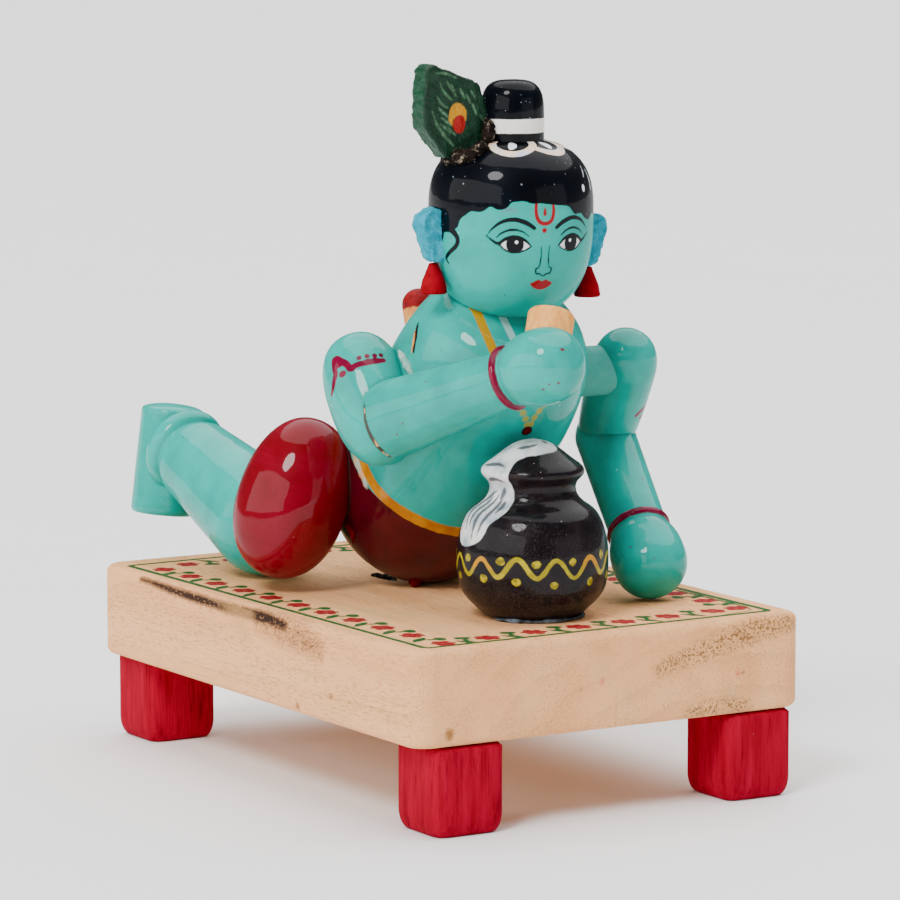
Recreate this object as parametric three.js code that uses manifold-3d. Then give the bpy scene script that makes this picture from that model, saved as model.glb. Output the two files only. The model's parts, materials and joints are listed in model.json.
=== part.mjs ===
// Baby Krishna crawling on a low stool with a pot of butter, in turned and lacquered wood.
// Millimetres, +Z up. The origin is on the floor under the middle of the whole toy.
// The figure crawls towards -Y, so its right side is at -X.

import * as THREE from 'three'
import { mergeVertices } from 'three/addons/utils/BufferGeometryUtils.js'
import Module from 'manifold-3d'

const wasm = await Module()
wasm.setup()

const UP = new THREE.Vector3(0, 0, 1)
const LEFT = new THREE.Vector3(1, 0, 0)

// Clearance kept between pieces that touch
const GAP = 0.3

// Stool board
const BOARD_LENGTH = 129.7
const BOARD_WIDTH = 90.5
const BOARD_THICKNESS = 19
const BOARD_CORNER = 5
const BOARD_EDGE = 1.6

// Stool legs
const LEG_HEIGHT = 17.8
const LEG_SIDE = 16
const LEG_FOOT_SIDE = 12.6
const LEG_FOOT_ROUND = 4
const LEG_INSET_SIDE = 3.6
const LEG_INSET_END = 0.3
const FRONT_LEGS_SIDEWAYS = 1.2

// Torso, one turned barrel that leans forward from its seat on the board. The places of the other
// pieces of the figure are [along, across, back] shares: along its axis as a share of its length,
// across to the figure's left and back, square to both, as shares of its radius.
const TORSO_LENGTH = 69.5
const TORSO_RADIUS = 19.7
const TORSO_POWER = 3.7
const TORSO_LEAN = 41.6
const TORSO_TURN = 1.8
const TORSO_SEAT = [-0.7, 16.6]

// Head, a turned ball, with its topknot, ears and earrings
const HEAD_HEIGHT = 35.7
const HEAD_RADIUS = 16.4
const HEAD_POWER = 2.65
const HEAD_WIDEST = 0.6
const HEAD_TURN = -7.4
const HEAD_PLACE = [0.957, -0.035, 0.072]
const TOPKNOT_RADIUS = 6.3
const TOPKNOT_HEIGHT = 11.4
const TOPKNOT_POWER = 3.4
const TOPKNOT_BACK = 0.5
const EAR_HEIGHT = 10.6
const EAR_REACH = 3.8
const EAR_DEPTH = 5
const EAR_R_MIDDLE = 16.9
const EAR_L_MIDDLE = 14.9
const EARRING_HEIGHT = 6
const EARRING_TOP_RADIUS = 0.9
const EARRING_RADIUS = 2.7

// Peacock feather, a flat chip glued beside the topknot. The outline is measured from the
// topknot's side and from the top of the head.
const FEATHER_THICKNESS = 5
const FEATHER_AHEAD = 1
const FEATHER_OUTLINE = [
  [0.4, 2], [-1.4, -0.7], [-5.4, -4.1], [-9.3, -3.5], [-14, 2.5], [-14.4, 6],
  [-13.7, 13.8], [-12.3, 14.9], [-8.4, 13.5], [-2, 11.1], [-0.9, 9.5], [0.6, 4.2],
]

// Peg behind the right shoulder, with a round red end
const BACK_PEG_RADIUS = 3.35
const BACK_PEG_LENGTH = 15.5
const BACK_PEG_PLACE = [0.649, -0.393, 0.438]
const BACK_PEG_AXIS = [-0.05, 0.21, 0.98]

// Right arm, raised, with a lump of butter in the hand
const ARM_R_RADIUS = 8.5
const ARM_R_LENGTH = 28.2
const ARM_R_POWER = 2.5
const ARM_R_PLACE = [0.666, -1.186, 0.804]
const ARM_R_AXIS = [0, -0.58, -0.814]
const FOREARM_R_RADIUS = 8
const FOREARM_R_WRIST_RADIUS = 5.6
const FOREARM_R_LENGTH = 30.6
const FOREARM_R_AXIS = [0.388, -0.857, 0.339]
const FOREARM_R_DOWN_ARM = 0.734
const FOREARM_R_AHEAD = 2.7
const BUTTER_RADIUS = 4.6
const BUTTER_LENGTH = 7.4
const BUTTER_EDGE = 0.8
const BUTTER_AXIS = [0.349, 0.283, 0.891]

// Left arm, reaching down to the board
const ARM_L_RADIUS = 6.7
const ARM_L_LENGTH = 25.7
const ARM_L_POWER = 2.4
const ARM_L_PLACE = [0.884, 1.509, -0.044]
const ARM_L_AXIS = [0.106, 0.542, -0.833]
const FOREARM_L_RADIUS = 6.2
const FOREARM_L_WRIST_RADIUS = 6
const FOREARM_L_LENGTH = 25.2
const FOREARM_L_TURN = -13.4
const SHOULDER_DOWEL_RADIUS = 5.1

// Hands and wrist rings
const HAND_RADIUS = 7.6
const HAND_LENGTH = 17.5
const HAND_WIDEST = 0.55
const HAND_POWER = 2.3
const RING_RADIUS = 6.6
const RING_WIDTH = 1.7
const RING_GROOVE = 0.4

// Legs of the figure
const THIGH_RADIUS = 11.3
const THIGH_LENGTH = 33.5
const THIGH_POWER = 2.15
const THIGH_AXIS = [0.326, -0.05, 0.944]
const THIGH_R_PLACE = [0.161, -1.398, 0.212]
const THIGH_L_PLACE = [0.122, 1.2, 0.28]
const THIGH_LIFT = 2.6
const SHIN_RADIUS = 11.4
const SHIN_ANKLE_RADIUS = 8.3
const SHIN_LENGTH = 32.5
const SHIN_R_AXIS = [-0.02, 0.95, 0.315]
const SHIN_L_AXIS = [0.14, 0.94, 0.315]
const SHIN_INWARD = 3.7
const SHIN_BEHIND = 13.9
const ANKLE_BEAD_RADIUS = 9.1
const ANKLE_BEAD_WIDTH = 4.5
const FOOT_LENGTH = 23.6
const FOOT_RADIUS = 6.6
const FOOT_SOLE_RADIUS = 7
const FOOT_AXIS = [-0.11, 0, -0.994]

// Butter pot, set down close in front of the torso
const POT_SIDEWAYS = -2.4
const POT_CLEARANCE = 0.7
const POT_HEIGHT = 23
const POT_RADIUS = 15.1
const POT_BASE_RADIUS = 9.6
const POT_NECK_RADIUS = 8.4
const POT_RIM_RADIUS = 10.3
const POT_LIP = 5.4
const POT_HEAP = 6.6

// Colours
const COLOURS = {
  board: ['#e0c49d', 0.6],
  legs: ['#c3082d', 0.25],
  skin: ['#4fc8b2', 0.2],
  hair: ['#0d1219', 0.15],
  ear: ['#58b3cd', 0.7],
  earring: ['#b8061f', 0.5],
  feather: ['#0f553c', 0.5],
  wood: ['#e1aa78', 0.6],
  peg: ['#dd8a70', 0.5],
  glue: ['#aebfb4', 0.4],
  shorts: ['#7d0a14', 0.2],
  pot: ['#231a1d', 0.15],
}
const materials = {}
for (const [name, [color, roughness]] of Object.entries(COLOURS)) {
  materials[name] = new THREE.MeshStandardMaterial({ color, roughness, metalness: 0 })
}

// Profiles, lists of [radius, height] from the foot of a turned piece to its top

// A rounded barrel or egg. A high power is boxier, and widest is the share of its length at the belly.
function roundedProfile(radius, length, power, widest = 0.5, steps = 12) {
  const points = []
  for (let i = 0; i <= steps; i++) {
    const share = (1 - Math.cos((Math.PI * i) / steps)) / 2
    const reach = share < widest ? (widest - share) / widest : (share - widest) / (1 - widest)
    const r = radius * Math.pow(Math.max(0, 1 - Math.pow(reach, power)), 1 / power)
    points.push([i === 0 || i === steps ? 0 : r, share * length])
  }
  return points
}

// A quarter round from the axis out to radius r and up by height h, or back in when closing is set.
function endRound(r, z, h, closing = false, steps = 4) {
  const points = []
  for (let i = 0; i <= steps; i++) {
    const a = (Math.PI / 2) * (i / steps)
    const point = closing
      ? [r * Math.cos(a), z + h * Math.sin(a)]
      : [r * Math.sin(a), z + h * (1 - Math.cos(a))]
    points.push(point)
  }
  if (closing) points[steps][0] = 0
  return points
}

// A small half-round bead standing out to radius r between z and z + width.
function bead(inner, r, z, width) {
  const shoulder = inner + (r - inner) * 0.75
  const rounded = [[shoulder, z + width * 0.2], [r, z + width * 0.5], [shoulder, z + width * 0.8]]
  return [[inner, z], ...rounded, [inner, z + width]]
}

// A forearm with a flat or a round elbow, a tapering shaft, a raised ring and a round hand.
function forearmProfile(elbow, wrist, length, flatElbow = false) {
  const hand = roundedProfile(HAND_RADIUS, HAND_LENGTH, HAND_POWER, HAND_WIDEST, 10)
  const palm = hand.filter(([r, z]) => r > wrist || z > HAND_LENGTH / 2)
  const base = length + RING_WIDTH + RING_GROOVE - palm[0][1]
  return [
    ...(flatElbow ? [[0, 0], [elbow - 0.4, 0], [elbow, 0.4]] : endRound(elbow, -elbow, elbow)),
    ...bead(wrist, RING_RADIUS, length, RING_WIDTH),
    ...palm.map(([r, z]) => [r, base + z]),
  ]
}

// Offsets a profile outwards, for the seat that a neighbour is cut to.
function grownProfile(profile, gap) {
  const last = profile.length - 1
  return profile.map(([r, z], i) => {
    if (i === 0) return [0, z - gap]
    if (i === last) return [0, z + gap]
    const along = new THREE.Vector2(
      profile[i + 1][0] - profile[i - 1][0],
      profile[i + 1][1] - profile[i - 1][1],
    ).normalize()
    return [r + along.y * gap, z - along.x * gap]
  })
}

// Solids

function latheSolid(profile, sides) {
  const points = profile.map(([r, z]) => new THREE.Vector2(r, z))
  return new THREE.LatheGeometry(points, sides).rotateX(Math.PI / 2)
}

function toManifold(geometry, matrix) {
  const bare = geometry.clone().applyMatrix4(matrix)
  bare.deleteAttribute('normal')
  bare.deleteAttribute('uv')
  const merged = mergeVertices(bare, 1e-4)
  return new wasm.Manifold(new wasm.Mesh({
    numProp: 3,
    vertProperties: Float32Array.from(merged.attributes.position.array),
    triVerts: Uint32Array.from(merged.index.array),
  }))
}

function fromManifold(solid) {
  const mesh = solid.getMesh()
  const geometry = new THREE.BufferGeometry()
  geometry.setAttribute('position', new THREE.BufferAttribute(Float32Array.from(mesh.vertProperties), 3))
  geometry.setIndex(new THREE.BufferAttribute(Uint32Array.from(mesh.triVerts), 1))
  geometry.computeVertexNormals()
  return geometry
}

// Cuts a piece back from its neighbours, keeping GAP, and keeps the largest body that is left.
function cope(piece, ...neighbours) {
  piece.updateMatrix()
  const home = piece.matrix.clone().invert()
  let solid = toManifold(piece.geometry, new THREE.Matrix4())
  for (const neighbour of neighbours) {
    neighbour.updateMatrix()
    const toPiece = home.clone().multiply(neighbour.matrix)
    solid = solid.subtract(toManifold(neighbour.userData.seat, toPiece))
  }
  const bodies = solid.decompose().sort((a, b) => b.volume() - a.volume())
  piece.geometry = fromManifold(bodies[0])
}

const figure = new THREE.Group()

function addPiece(name, geometry, material, seat = geometry) {
  const mesh = new THREE.Mesh(geometry, materials[material])
  mesh.name = name
  mesh.userData.seat = seat
  figure.add(mesh)
  return mesh
}

// A turned piece with its foot at start and its axis pointing along axis.
function turnedPiece(name, profile, material, start, axis, sides) {
  const seat = latheSolid(grownProfile(profile, GAP), sides)
  const mesh = addPiece(name, latheSolid(profile, sides), material, seat)
  mesh.position.copy(start)
  mesh.quaternion.setFromUnitVectors(new THREE.Vector3(0, 0, 1), axis.clone().normalize())
  return mesh
}

// Lowers or lifts a piece until its lowest point is at a height above the board.
function restOnBoard(mesh, height = GAP) {
  mesh.updateMatrix()
  const placed = mesh.geometry.clone().applyMatrix4(mesh.matrix)
  placed.computeBoundingBox()
  mesh.position.z += height - placed.boundingBox.min.z
}

function vector(values) {
  return new THREE.Vector3(...values)
}

// The point at a distance from a start along a direction.
function pointAlong(start, axis, distance) {
  return axis.clone().setLength(Math.abs(distance)).multiplyScalar(Math.sign(distance)).add(start)
}

// Torso, and the frame that the rest of the figure is placed in

const lean = THREE.MathUtils.degToRad(TORSO_LEAN)
const turn = THREE.MathUtils.degToRad(TORSO_TURN)
const torsoUp = new THREE.Vector3(Math.sin(turn) * Math.sin(lean), -Math.sin(lean), Math.cos(lean))
const torsoBack = new THREE.Vector3(0, Math.cos(lean), Math.sin(lean))
const torsoAcross = new THREE.Vector3().crossVectors(torsoBack, torsoUp)

function makeTorso() {
  const profile = roundedProfile(TORSO_RADIUS, TORSO_LENGTH, TORSO_POWER, 0.5, 14)
  const torso = turnedPiece('torso', profile, 'skin', vector([...TORSO_SEAT, 0]), torsoUp, 24)
  restOnBoard(torso)
  return torso
}

function onTorso(torso, [along, across, back]) {
  return torso.position.clone()
    .addScaledVector(torsoUp, along * TORSO_LENGTH)
    .addScaledVector(torsoAcross, across * TORSO_RADIUS)
    .addScaledVector(torsoBack, back * TORSO_RADIUS)
}

// Head

function makeHead(torso) {
  const profile = roundedProfile(HEAD_RADIUS, HEAD_HEIGHT, HEAD_POWER, HEAD_WIDEST, 12)
  const head = turnedPiece('head', profile, 'skin', onTorso(torso, HEAD_PLACE), UP, 24)
  head.rotation.z = THREE.MathUtils.degToRad(HEAD_TURN)
  return head
}

function makeTopknot(head) {
  const sunk = HEAD_HEIGHT * 0.1
  const dome = roundedProfile(TOPKNOT_RADIUS, TOPKNOT_HEIGHT * 1.4, TOPKNOT_POWER, 0.5, 12)
  const sides = dome.filter(([, z]) => z > TOPKNOT_HEIGHT * 0.7)
  const profile = [
    [0, -sunk], [TOPKNOT_RADIUS, -sunk],
    ...sides.map(([r, z]) => [r, z - TOPKNOT_HEIGHT * 0.4]),
  ]
  const place = vector([0, -TOPKNOT_BACK, HEAD_HEIGHT]).add(head.position)
  const topknot = turnedPiece('topknot', profile, 'hair', place, UP, 16)
  cope(topknot, head)
  return topknot
}

// Moves a piece made beside the head's own axis to its place on the turned head.
function placeOnHead(mesh, head, x, y, z) {
  mesh.position.set(x, y, z)
  mesh.applyMatrix4(new THREE.Matrix4().makeRotationZ(head.rotation.z))
  mesh.position.add(head.position)
}

// An ear is a thick chip with its outline cut in the plane across the head.
function makeEar(name, side, bottom, head) {
  const h = EAR_HEIGHT
  const reach = EAR_REACH
  const inside = -HEAD_RADIUS * 0.3
  const outline = [
    [inside, 0], [0.3 * reach, 0], [0.55 * reach, 0.13 * h], [0.68 * reach, 0.34 * h],
    [reach, 0.6 * h], [reach, 0.82 * h], [0.7 * reach, 0.94 * h], [0.2 * reach, h], [inside, h],
  ]
  const ear = addPiece(name, chip(outline.map(([x, z]) => [x * side, z]), EAR_DEPTH), 'ear')
  placeOnHead(ear, head, side * HEAD_RADIUS, EAR_DEPTH / 2, bottom)
  cope(ear, head)
}

function makeEarring(name, side, earBottom, head) {
  const profile = [
    [0, 0], [EARRING_RADIUS * 0.94, 0], [EARRING_RADIUS, 0.4],
    [EARRING_RADIUS * 0.86, EARRING_HEIGHT * 0.4],
    [EARRING_TOP_RADIUS * 1.25, EARRING_HEIGHT * 0.9], [EARRING_TOP_RADIUS, EARRING_HEIGHT],
    [0, EARRING_HEIGHT],
  ]
  const earring = turnedPiece(name, profile, 'earring', new THREE.Vector3(), UP, 12)
  const outward = HEAD_RADIUS + EAR_REACH * 0.1
  placeOnHead(earring, head, side * outward, 0, earBottom - GAP - EARRING_HEIGHT)
  cope(earring, head)
}

// A chip of wood cut to an outline in the XZ plane, with its back face at y = 0 and softened edges.
function chip(outline, thickness) {
  const bevel = 0.5
  const shape = new THREE.Shape(outline.map(([x, z]) => new THREE.Vector2(x, z)))
  return new THREE.ExtrudeGeometry(shape, {
    depth: thickness - 2 * bevel,
    bevelSize: bevel, bevelThickness: bevel, bevelOffset: -bevel, bevelSegments: 1,
  }).rotateX(Math.PI / 2).translate(0, -bevel, 0)
}

function makeFeather(head, topknot) {
  const feather = addPiece('peacock_feather', chip(FEATHER_OUTLINE, FEATHER_THICKNESS), 'feather')
  feather.position.copy(head.position)
    .add(vector([-TOPKNOT_RADIUS, FEATHER_THICKNESS - FEATHER_AHEAD, HEAD_HEIGHT]))
  cope(feather, head, topknot)
}

function makeBackPeg(torso) {
  const profile = [
    ...endRound(BACK_PEG_RADIUS, 0, 0.5, false, 2),
    ...endRound(BACK_PEG_RADIUS, BACK_PEG_LENGTH - BACK_PEG_RADIUS, BACK_PEG_RADIUS, true, 4),
  ]
  const root = onTorso(torso, BACK_PEG_PLACE)
  const peg = turnedPiece('back_peg', profile, 'peg', root, vector(BACK_PEG_AXIS), 12)
  cope(peg, torso)
}

// Arms

function makeRightArm(torso, head) {
  const top = onTorso(torso, ARM_R_PLACE)
  const axis = vector(ARM_R_AXIS)
  const upperProfile = roundedProfile(ARM_R_RADIUS, ARM_R_LENGTH, ARM_R_POWER, 0.5, 10)
  const upper = turnedPiece('upper_arm_right', upperProfile, 'skin', top, axis, 20)
  const foreProfile = forearmProfile(FOREARM_R_RADIUS, FOREARM_R_WRIST_RADIUS, FOREARM_R_LENGTH, true)
  const reach = vector(FOREARM_R_AXIS)
  const ahead = new THREE.Vector3().crossVectors(axis, LEFT)
  const start = pointAlong(top, axis, ARM_R_LENGTH * FOREARM_R_DOWN_ARM)
  start.addScaledVector(ahead, FOREARM_R_AHEAD)
  const fore = turnedPiece('forearm_right', foreProfile, 'skin', start, reach, 16)
  const palm = pointAlong(start, reach, FOREARM_R_LENGTH + RING_WIDTH + HAND_LENGTH * 0.42)
  const butterTop = HAND_RADIUS + BUTTER_LENGTH / 2
  const butterProfile = [
    [0, 0], [BUTTER_RADIUS, 0], [BUTTER_RADIUS, butterTop - BUTTER_EDGE],
    [BUTTER_RADIUS - BUTTER_EDGE, butterTop], [0, butterTop],
  ]
  const butter = turnedPiece('butter_peg', butterProfile, 'wood', palm, vector(BUTTER_AXIS), 16)
  cope(fore, torso)
  cope(upper, fore, torso)
  cope(butter, fore, torso, head)
}

// The left forearm slopes down so that its hand meets the board.
function makeLeftArm(torso) {
  const top = onTorso(torso, ARM_L_PLACE)
  const axis = vector(ARM_L_AXIS)
  const dome = roundedProfile(ARM_L_RADIUS, ARM_L_LENGTH * 1.4, ARM_L_POWER, 0.24, 14)
  const kept = dome.filter(([, z]) => z < ARM_L_LENGTH)
  const upperProfile = [...kept, [kept[kept.length - 1][0] - 0.15, ARM_L_LENGTH], [0, ARM_L_LENGTH]]
  const upper = turnedPiece('upper_arm_left', upperProfile, 'skin', top, axis, 20)
  const elbow = pointAlong(top, axis, ARM_L_LENGTH)
  const toHand = FOREARM_L_LENGTH + RING_WIDTH + HAND_LENGTH / 2
  const slope = Math.asin((elbow.z - HAND_LENGTH * 0.47) / toHand)
  const forward = THREE.MathUtils.degToRad(FOREARM_L_TURN)
  const reach = new THREE.Vector3(
    Math.sin(forward) * Math.cos(slope),
    -Math.cos(forward) * Math.cos(slope),
    -Math.sin(slope),
  )
  const foreProfile = forearmProfile(FOREARM_L_RADIUS, FOREARM_L_WRIST_RADIUS, FOREARM_L_LENGTH)
  const fore = turnedPiece('forearm_left', foreProfile, 'skin', elbow, reach, 16)
  restOnBoard(fore)
  const middle = pointAlong(top, axis, ARM_L_RADIUS * 1.3)
  const dowelLength = middle.x - torso.position.x
  const dowelProfile = [
    [0, 0], [SHOULDER_DOWEL_RADIUS, 0], [SHOULDER_DOWEL_RADIUS, dowelLength], [0, dowelLength],
  ]
  middle.x = torso.position.x
  const dowel = turnedPiece('shoulder_dowel_left', dowelProfile, 'glue', middle, LEFT, 16)
  cope(upper, torso)
  cope(fore, upper, torso)
  cope(dowel, upper, torso)
}

// Legs, each an egg of the red shorts, a tapering shin with an ankle bead, and a foot that hangs
// over the board's edge

function makeLeg(sideName, side, thighPlace, shinAxis, torso) {
  const toSide = ([x, y, z]) => new THREE.Vector3(-side * x, y, z)
  const thighProfile = roundedProfile(THIGH_RADIUS, THIGH_LENGTH, THIGH_POWER, 0.46, 10)
  const thighAxis = toSide(THIGH_AXIS)
  const middle = onTorso(torso, thighPlace)
  const knee = pointAlong(middle, thighAxis, -THIGH_LENGTH / 2)
  const thigh = turnedPiece(`thigh_${sideName}`, thighProfile, 'shorts', knee, thighAxis, 24)
  restOnBoard(thigh, THIGH_LIFT)
  const neck = SHIN_ANKLE_RADIUS - 0.9
  const shinProfile = [
    ...endRound(SHIN_RADIUS, -SHIN_RADIUS, SHIN_RADIUS, false, 5),
    [SHIN_ANKLE_RADIUS + 0.5, SHIN_LENGTH - 3], [SHIN_ANKLE_RADIUS, SHIN_LENGTH - 1.5],
    [neck, SHIN_LENGTH - 0.6],
    ...bead(neck, ANKLE_BEAD_RADIUS, SHIN_LENGTH, ANKLE_BEAD_WIDTH),
    [0, SHIN_LENGTH + ANKLE_BEAD_WIDTH],
  ]
  const shinStart = new THREE.Vector3(middle.x - side * SHIN_INWARD, torso.position.y + SHIN_BEHIND, 0)
  const shin = turnedPiece(`shin_${sideName}`, shinProfile, 'skin', shinStart, shinAxis, 20)
  restOnBoard(shin)
  const footProfile = [
    ...endRound(FOOT_RADIUS, 0, 1.5, false, 3),
    [FOOT_SOLE_RADIUS, FOOT_LENGTH - 1], [FOOT_SOLE_RADIUS - 0.8, FOOT_LENGTH], [0, FOOT_LENGTH],
  ]
  const footAxis = toSide(FOOT_AXIS)
  const ankle = pointAlong(shin.position, shinAxis, SHIN_LENGTH + ANKLE_BEAD_WIDTH + FOOT_RADIUS * 0.7)
  const heel = pointAlong(ankle, footAxis, -FOOT_LENGTH * 0.3)
  const foot = turnedPiece(`foot_${sideName}`, footProfile, 'skin', heel, footAxis, 16)
  cope(thigh, torso)
  cope(shin, thigh, torso)
  cope(foot, shin)
}

// Pot of butter, one turned piece with the heap of butter worked on its top

function makePot(torso) {
  const belly = []
  for (const share of [0.2, 0.36, 0.5, 0.64, 0.79, 0.91, 1]) {
    const angle = Math.acos(1 - 2 * share)
    const low = share < 0.5
    const end = low ? POT_BASE_RADIUS : POT_NECK_RADIUS + 1
    belly.push([end + (POT_RADIUS - end) * Math.sin(angle) ** (low ? 0.75 : 1.05), share * POT_HEIGHT])
  }
  const neck = POT_HEIGHT + 2
  const rim = POT_HEIGHT + POT_LIP
  const profile = [
    [0, 0], [POT_BASE_RADIUS - 0.4, 0], [POT_BASE_RADIUS + 0.4, 0.5], ...belly,
    [POT_NECK_RADIUS, neck], [POT_NECK_RADIUS + 0.3, neck + 1.6], [POT_RIM_RADIUS - 0.7, rim - 0.9],
    [POT_RIM_RADIUS, rim], [POT_RIM_RADIUS - 0.3, rim + 1.2],
    [POT_RIM_RADIUS * 0.7, rim + POT_HEAP * 0.48], [POT_RIM_RADIUS * 0.52, rim + POT_HEAP * 0.72],
    [POT_RIM_RADIUS * 0.3, rim + POT_HEAP * 0.92], [0, rim + POT_HEAP],
  ]
  // The pot stands where its rim just clears the torso's leaning front
  const upTorso = (rim + GAP - torso.position.z + TORSO_RADIUS * torsoBack.z) / torsoUp.z
  const torsoFront = torso.position.y + upTorso * torsoUp.y - TORSO_RADIUS * torsoBack.y
  const place = vector([torso.position.x + POT_SIDEWAYS, torsoFront - POT_RIM_RADIUS - POT_CLEARANCE, GAP])
  turnedPiece('butter_pot', profile, 'pot', place, UP, 20)
}

// Stool

function roundedRectangle(width, length, radius, segments) {
  const points = []
  for (const [sx, sy, start] of [[1, 1, 0], [-1, 1, 1], [-1, -1, 2], [1, -1, 3]]) {
    for (let i = 0; i <= segments; i++) {
      const a = (Math.PI / 2) * (start + i / segments)
      const x = sx * (width / 2 - radius) + radius * Math.cos(a)
      const y = sy * (length / 2 - radius) + radius * Math.sin(a)
      points.push(new THREE.Vector2(x, y))
    }
  }
  return new THREE.Shape(points)
}

function makeBoard() {
  const shape = roundedRectangle(BOARD_WIDTH, BOARD_LENGTH, BOARD_CORNER, 5)
  const geometry = new THREE.ExtrudeGeometry(shape, {
    depth: BOARD_THICKNESS - 2 * BOARD_EDGE,
    bevelSize: BOARD_EDGE, bevelThickness: BOARD_EDGE, bevelOffset: -BOARD_EDGE, bevelSegments: 2,
  })
  const board = new THREE.Mesh(geometry, materials.board)
  board.name = 'board'
  board.position.z = LEG_HEIGHT + BOARD_EDGE
  return board
}

// A stool leg is a square block with round corners, softened towards the floor.
function makeStoolLeg(name, sideX, sideY) {
  const height = LEG_HEIGHT - GAP
  const cornerPower = 7
  const profile = [[0, 0], [LEG_FOOT_SIDE / 2, 0]]
  const steps = 3
  for (let i = 1; i <= steps; i++) {
    const a = (Math.PI / 2) * (i / steps)
    const side = LEG_FOOT_SIDE + (LEG_SIDE - LEG_FOOT_SIDE) * Math.sin(a)
    profile.push([side / 2, LEG_FOOT_ROUND * (1 - Math.cos(a))])
  }
  profile.push([LEG_SIDE / 2, height - 0.6], [LEG_SIDE / 2 - 0.6, height], [0, height])
  const geometry = latheSolid(profile, 16)
  const position = geometry.attributes.position
  for (let i = 0; i < position.count; i++) {
    const x = position.getX(i)
    const y = position.getY(i)
    const round = Math.hypot(x, y)
    const square = (Math.abs(x) ** cornerPower + Math.abs(y) ** cornerPower) ** (1 / cornerPower)
    const scale = round > 0 ? round / square : 1
    position.setXY(i, x * scale, y * scale)
  }
  const leg = new THREE.Mesh(geometry, materials.legs)
  leg.name = name
  const x = BOARD_WIDTH / 2 - LEG_INSET_SIDE - LEG_SIDE / 2
  const y = BOARD_LENGTH / 2 - LEG_INSET_END - LEG_SIDE / 2
  leg.position.set(sideX * x + (sideY < 0 ? FRONT_LEGS_SIDEWAYS : 0), sideY * y, 0)
  return leg
}

// The figure, placed from the torso outwards

const torso = makeTorso()
const head = makeHead(torso)
cope(torso, head)
const topknot = makeTopknot(head)
for (const [name, side, middle] of [['right', -1, EAR_R_MIDDLE], ['left', 1, EAR_L_MIDDLE]]) {
  makeEar(`ear_${name}`, side, middle - EAR_HEIGHT / 2, head)
  makeEarring(`earring_${name}`, side, middle - EAR_HEIGHT / 2, head)
}
makeFeather(head, topknot)
makeBackPeg(torso)
makeRightArm(torso, head)
makeLeftArm(torso)
makeLeg('right', -1, THIGH_R_PLACE, vector(SHIN_R_AXIS), torso)
makeLeg('left', 1, THIGH_L_PLACE, vector(SHIN_L_AXIS), torso)
makePot(torso)

figure.position.z = LEG_HEIGHT + BOARD_THICKNESS

const model = new THREE.Group()
model.add(makeBoard(), figure)
for (const [across, sideX] of [['right', -1], ['left', 1]]) {
  for (const [along, sideY] of [['front', -1], ['back', 1]]) {
    model.add(makeStoolLeg(`stool_leg_${along}_${across}`, sideX, sideY))
  }
}

// Everything is moved so that the origin is under the middle of the whole toy
const middle = new THREE.Box3().setFromObject(model, true).getCenter(new THREE.Vector3())
for (const part of model.children) {
  part.position.x -= middle.x
  part.position.y -= middle.y
}

export default model
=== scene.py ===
"""A painted wooden toy: baby Krishna crawling on a low stool with a pot of butter.

Sizes are millimetres until a mesh is made. Places of the figure start on the middle of the board's top:
+X is the figure's left, -Y is the way it crawls, +Z is up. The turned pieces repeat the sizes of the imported
model with a fine round surface. Their painting is kept in layers: each holds, for every vertex, the distance
to the edge of what is painted with one colour, negative inside, and the materials turn it into paint.
"""

import json
import math

import bpy
import numpy as np
from mathutils import Matrix, Vector, noise

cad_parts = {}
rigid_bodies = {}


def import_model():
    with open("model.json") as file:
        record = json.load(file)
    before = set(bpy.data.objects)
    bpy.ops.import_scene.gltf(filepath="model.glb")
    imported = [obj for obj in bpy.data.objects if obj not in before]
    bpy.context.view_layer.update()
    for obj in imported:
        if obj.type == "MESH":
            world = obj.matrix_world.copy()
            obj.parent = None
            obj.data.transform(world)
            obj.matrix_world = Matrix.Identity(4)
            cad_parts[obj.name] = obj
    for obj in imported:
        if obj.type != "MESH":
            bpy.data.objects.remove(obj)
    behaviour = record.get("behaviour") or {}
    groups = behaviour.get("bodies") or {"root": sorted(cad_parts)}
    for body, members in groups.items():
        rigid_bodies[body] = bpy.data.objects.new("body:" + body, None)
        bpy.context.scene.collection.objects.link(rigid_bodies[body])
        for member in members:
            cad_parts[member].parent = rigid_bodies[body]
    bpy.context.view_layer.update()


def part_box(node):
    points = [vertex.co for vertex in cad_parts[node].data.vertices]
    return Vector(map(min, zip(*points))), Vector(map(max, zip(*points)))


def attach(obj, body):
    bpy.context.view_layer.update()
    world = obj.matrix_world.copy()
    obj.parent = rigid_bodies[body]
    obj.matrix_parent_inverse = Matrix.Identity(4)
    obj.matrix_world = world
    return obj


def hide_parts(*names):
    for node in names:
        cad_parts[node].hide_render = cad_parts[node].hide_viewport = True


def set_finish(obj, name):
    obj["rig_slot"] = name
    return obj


# Vector noise starts from the clock unless it is given a seed.
noise.seed_set(4)
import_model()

MM = 0.001
UP = np.array([0.0, 0.0, 1.0])
SIDES = (("right", -1), ("left", 1))
GAP = 0.3
FAR = 4.0
FINE = 0.4
board_low, board_high = [np.array(corner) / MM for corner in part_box("board")]
SEAT = np.array([(board_low[0] + board_high[0]) / 2, (board_low[1] + board_high[1]) / 2, board_high[2]])
BOARD_WIDTH, BOARD_LENGTH, BOARD_THICKNESS = board_high - board_low


# Shapes of lines

def unit(vector):
    vector = np.array(vector, float)
    return vector / np.linalg.norm(vector)


def soften(points):
    """Cuts the corners of an open line of points twice, and keeps its ends."""
    points = np.array(points, float)
    for _ in range(2):
        near = points[:-1] * 0.75 + points[1:] * 0.25
        far = points[:-1] * 0.25 + points[1:] * 0.75
        points = np.vstack([points[:1], np.stack([near, far], 1).reshape(-1, points.shape[1]), points[-1:]])
    return points


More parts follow.
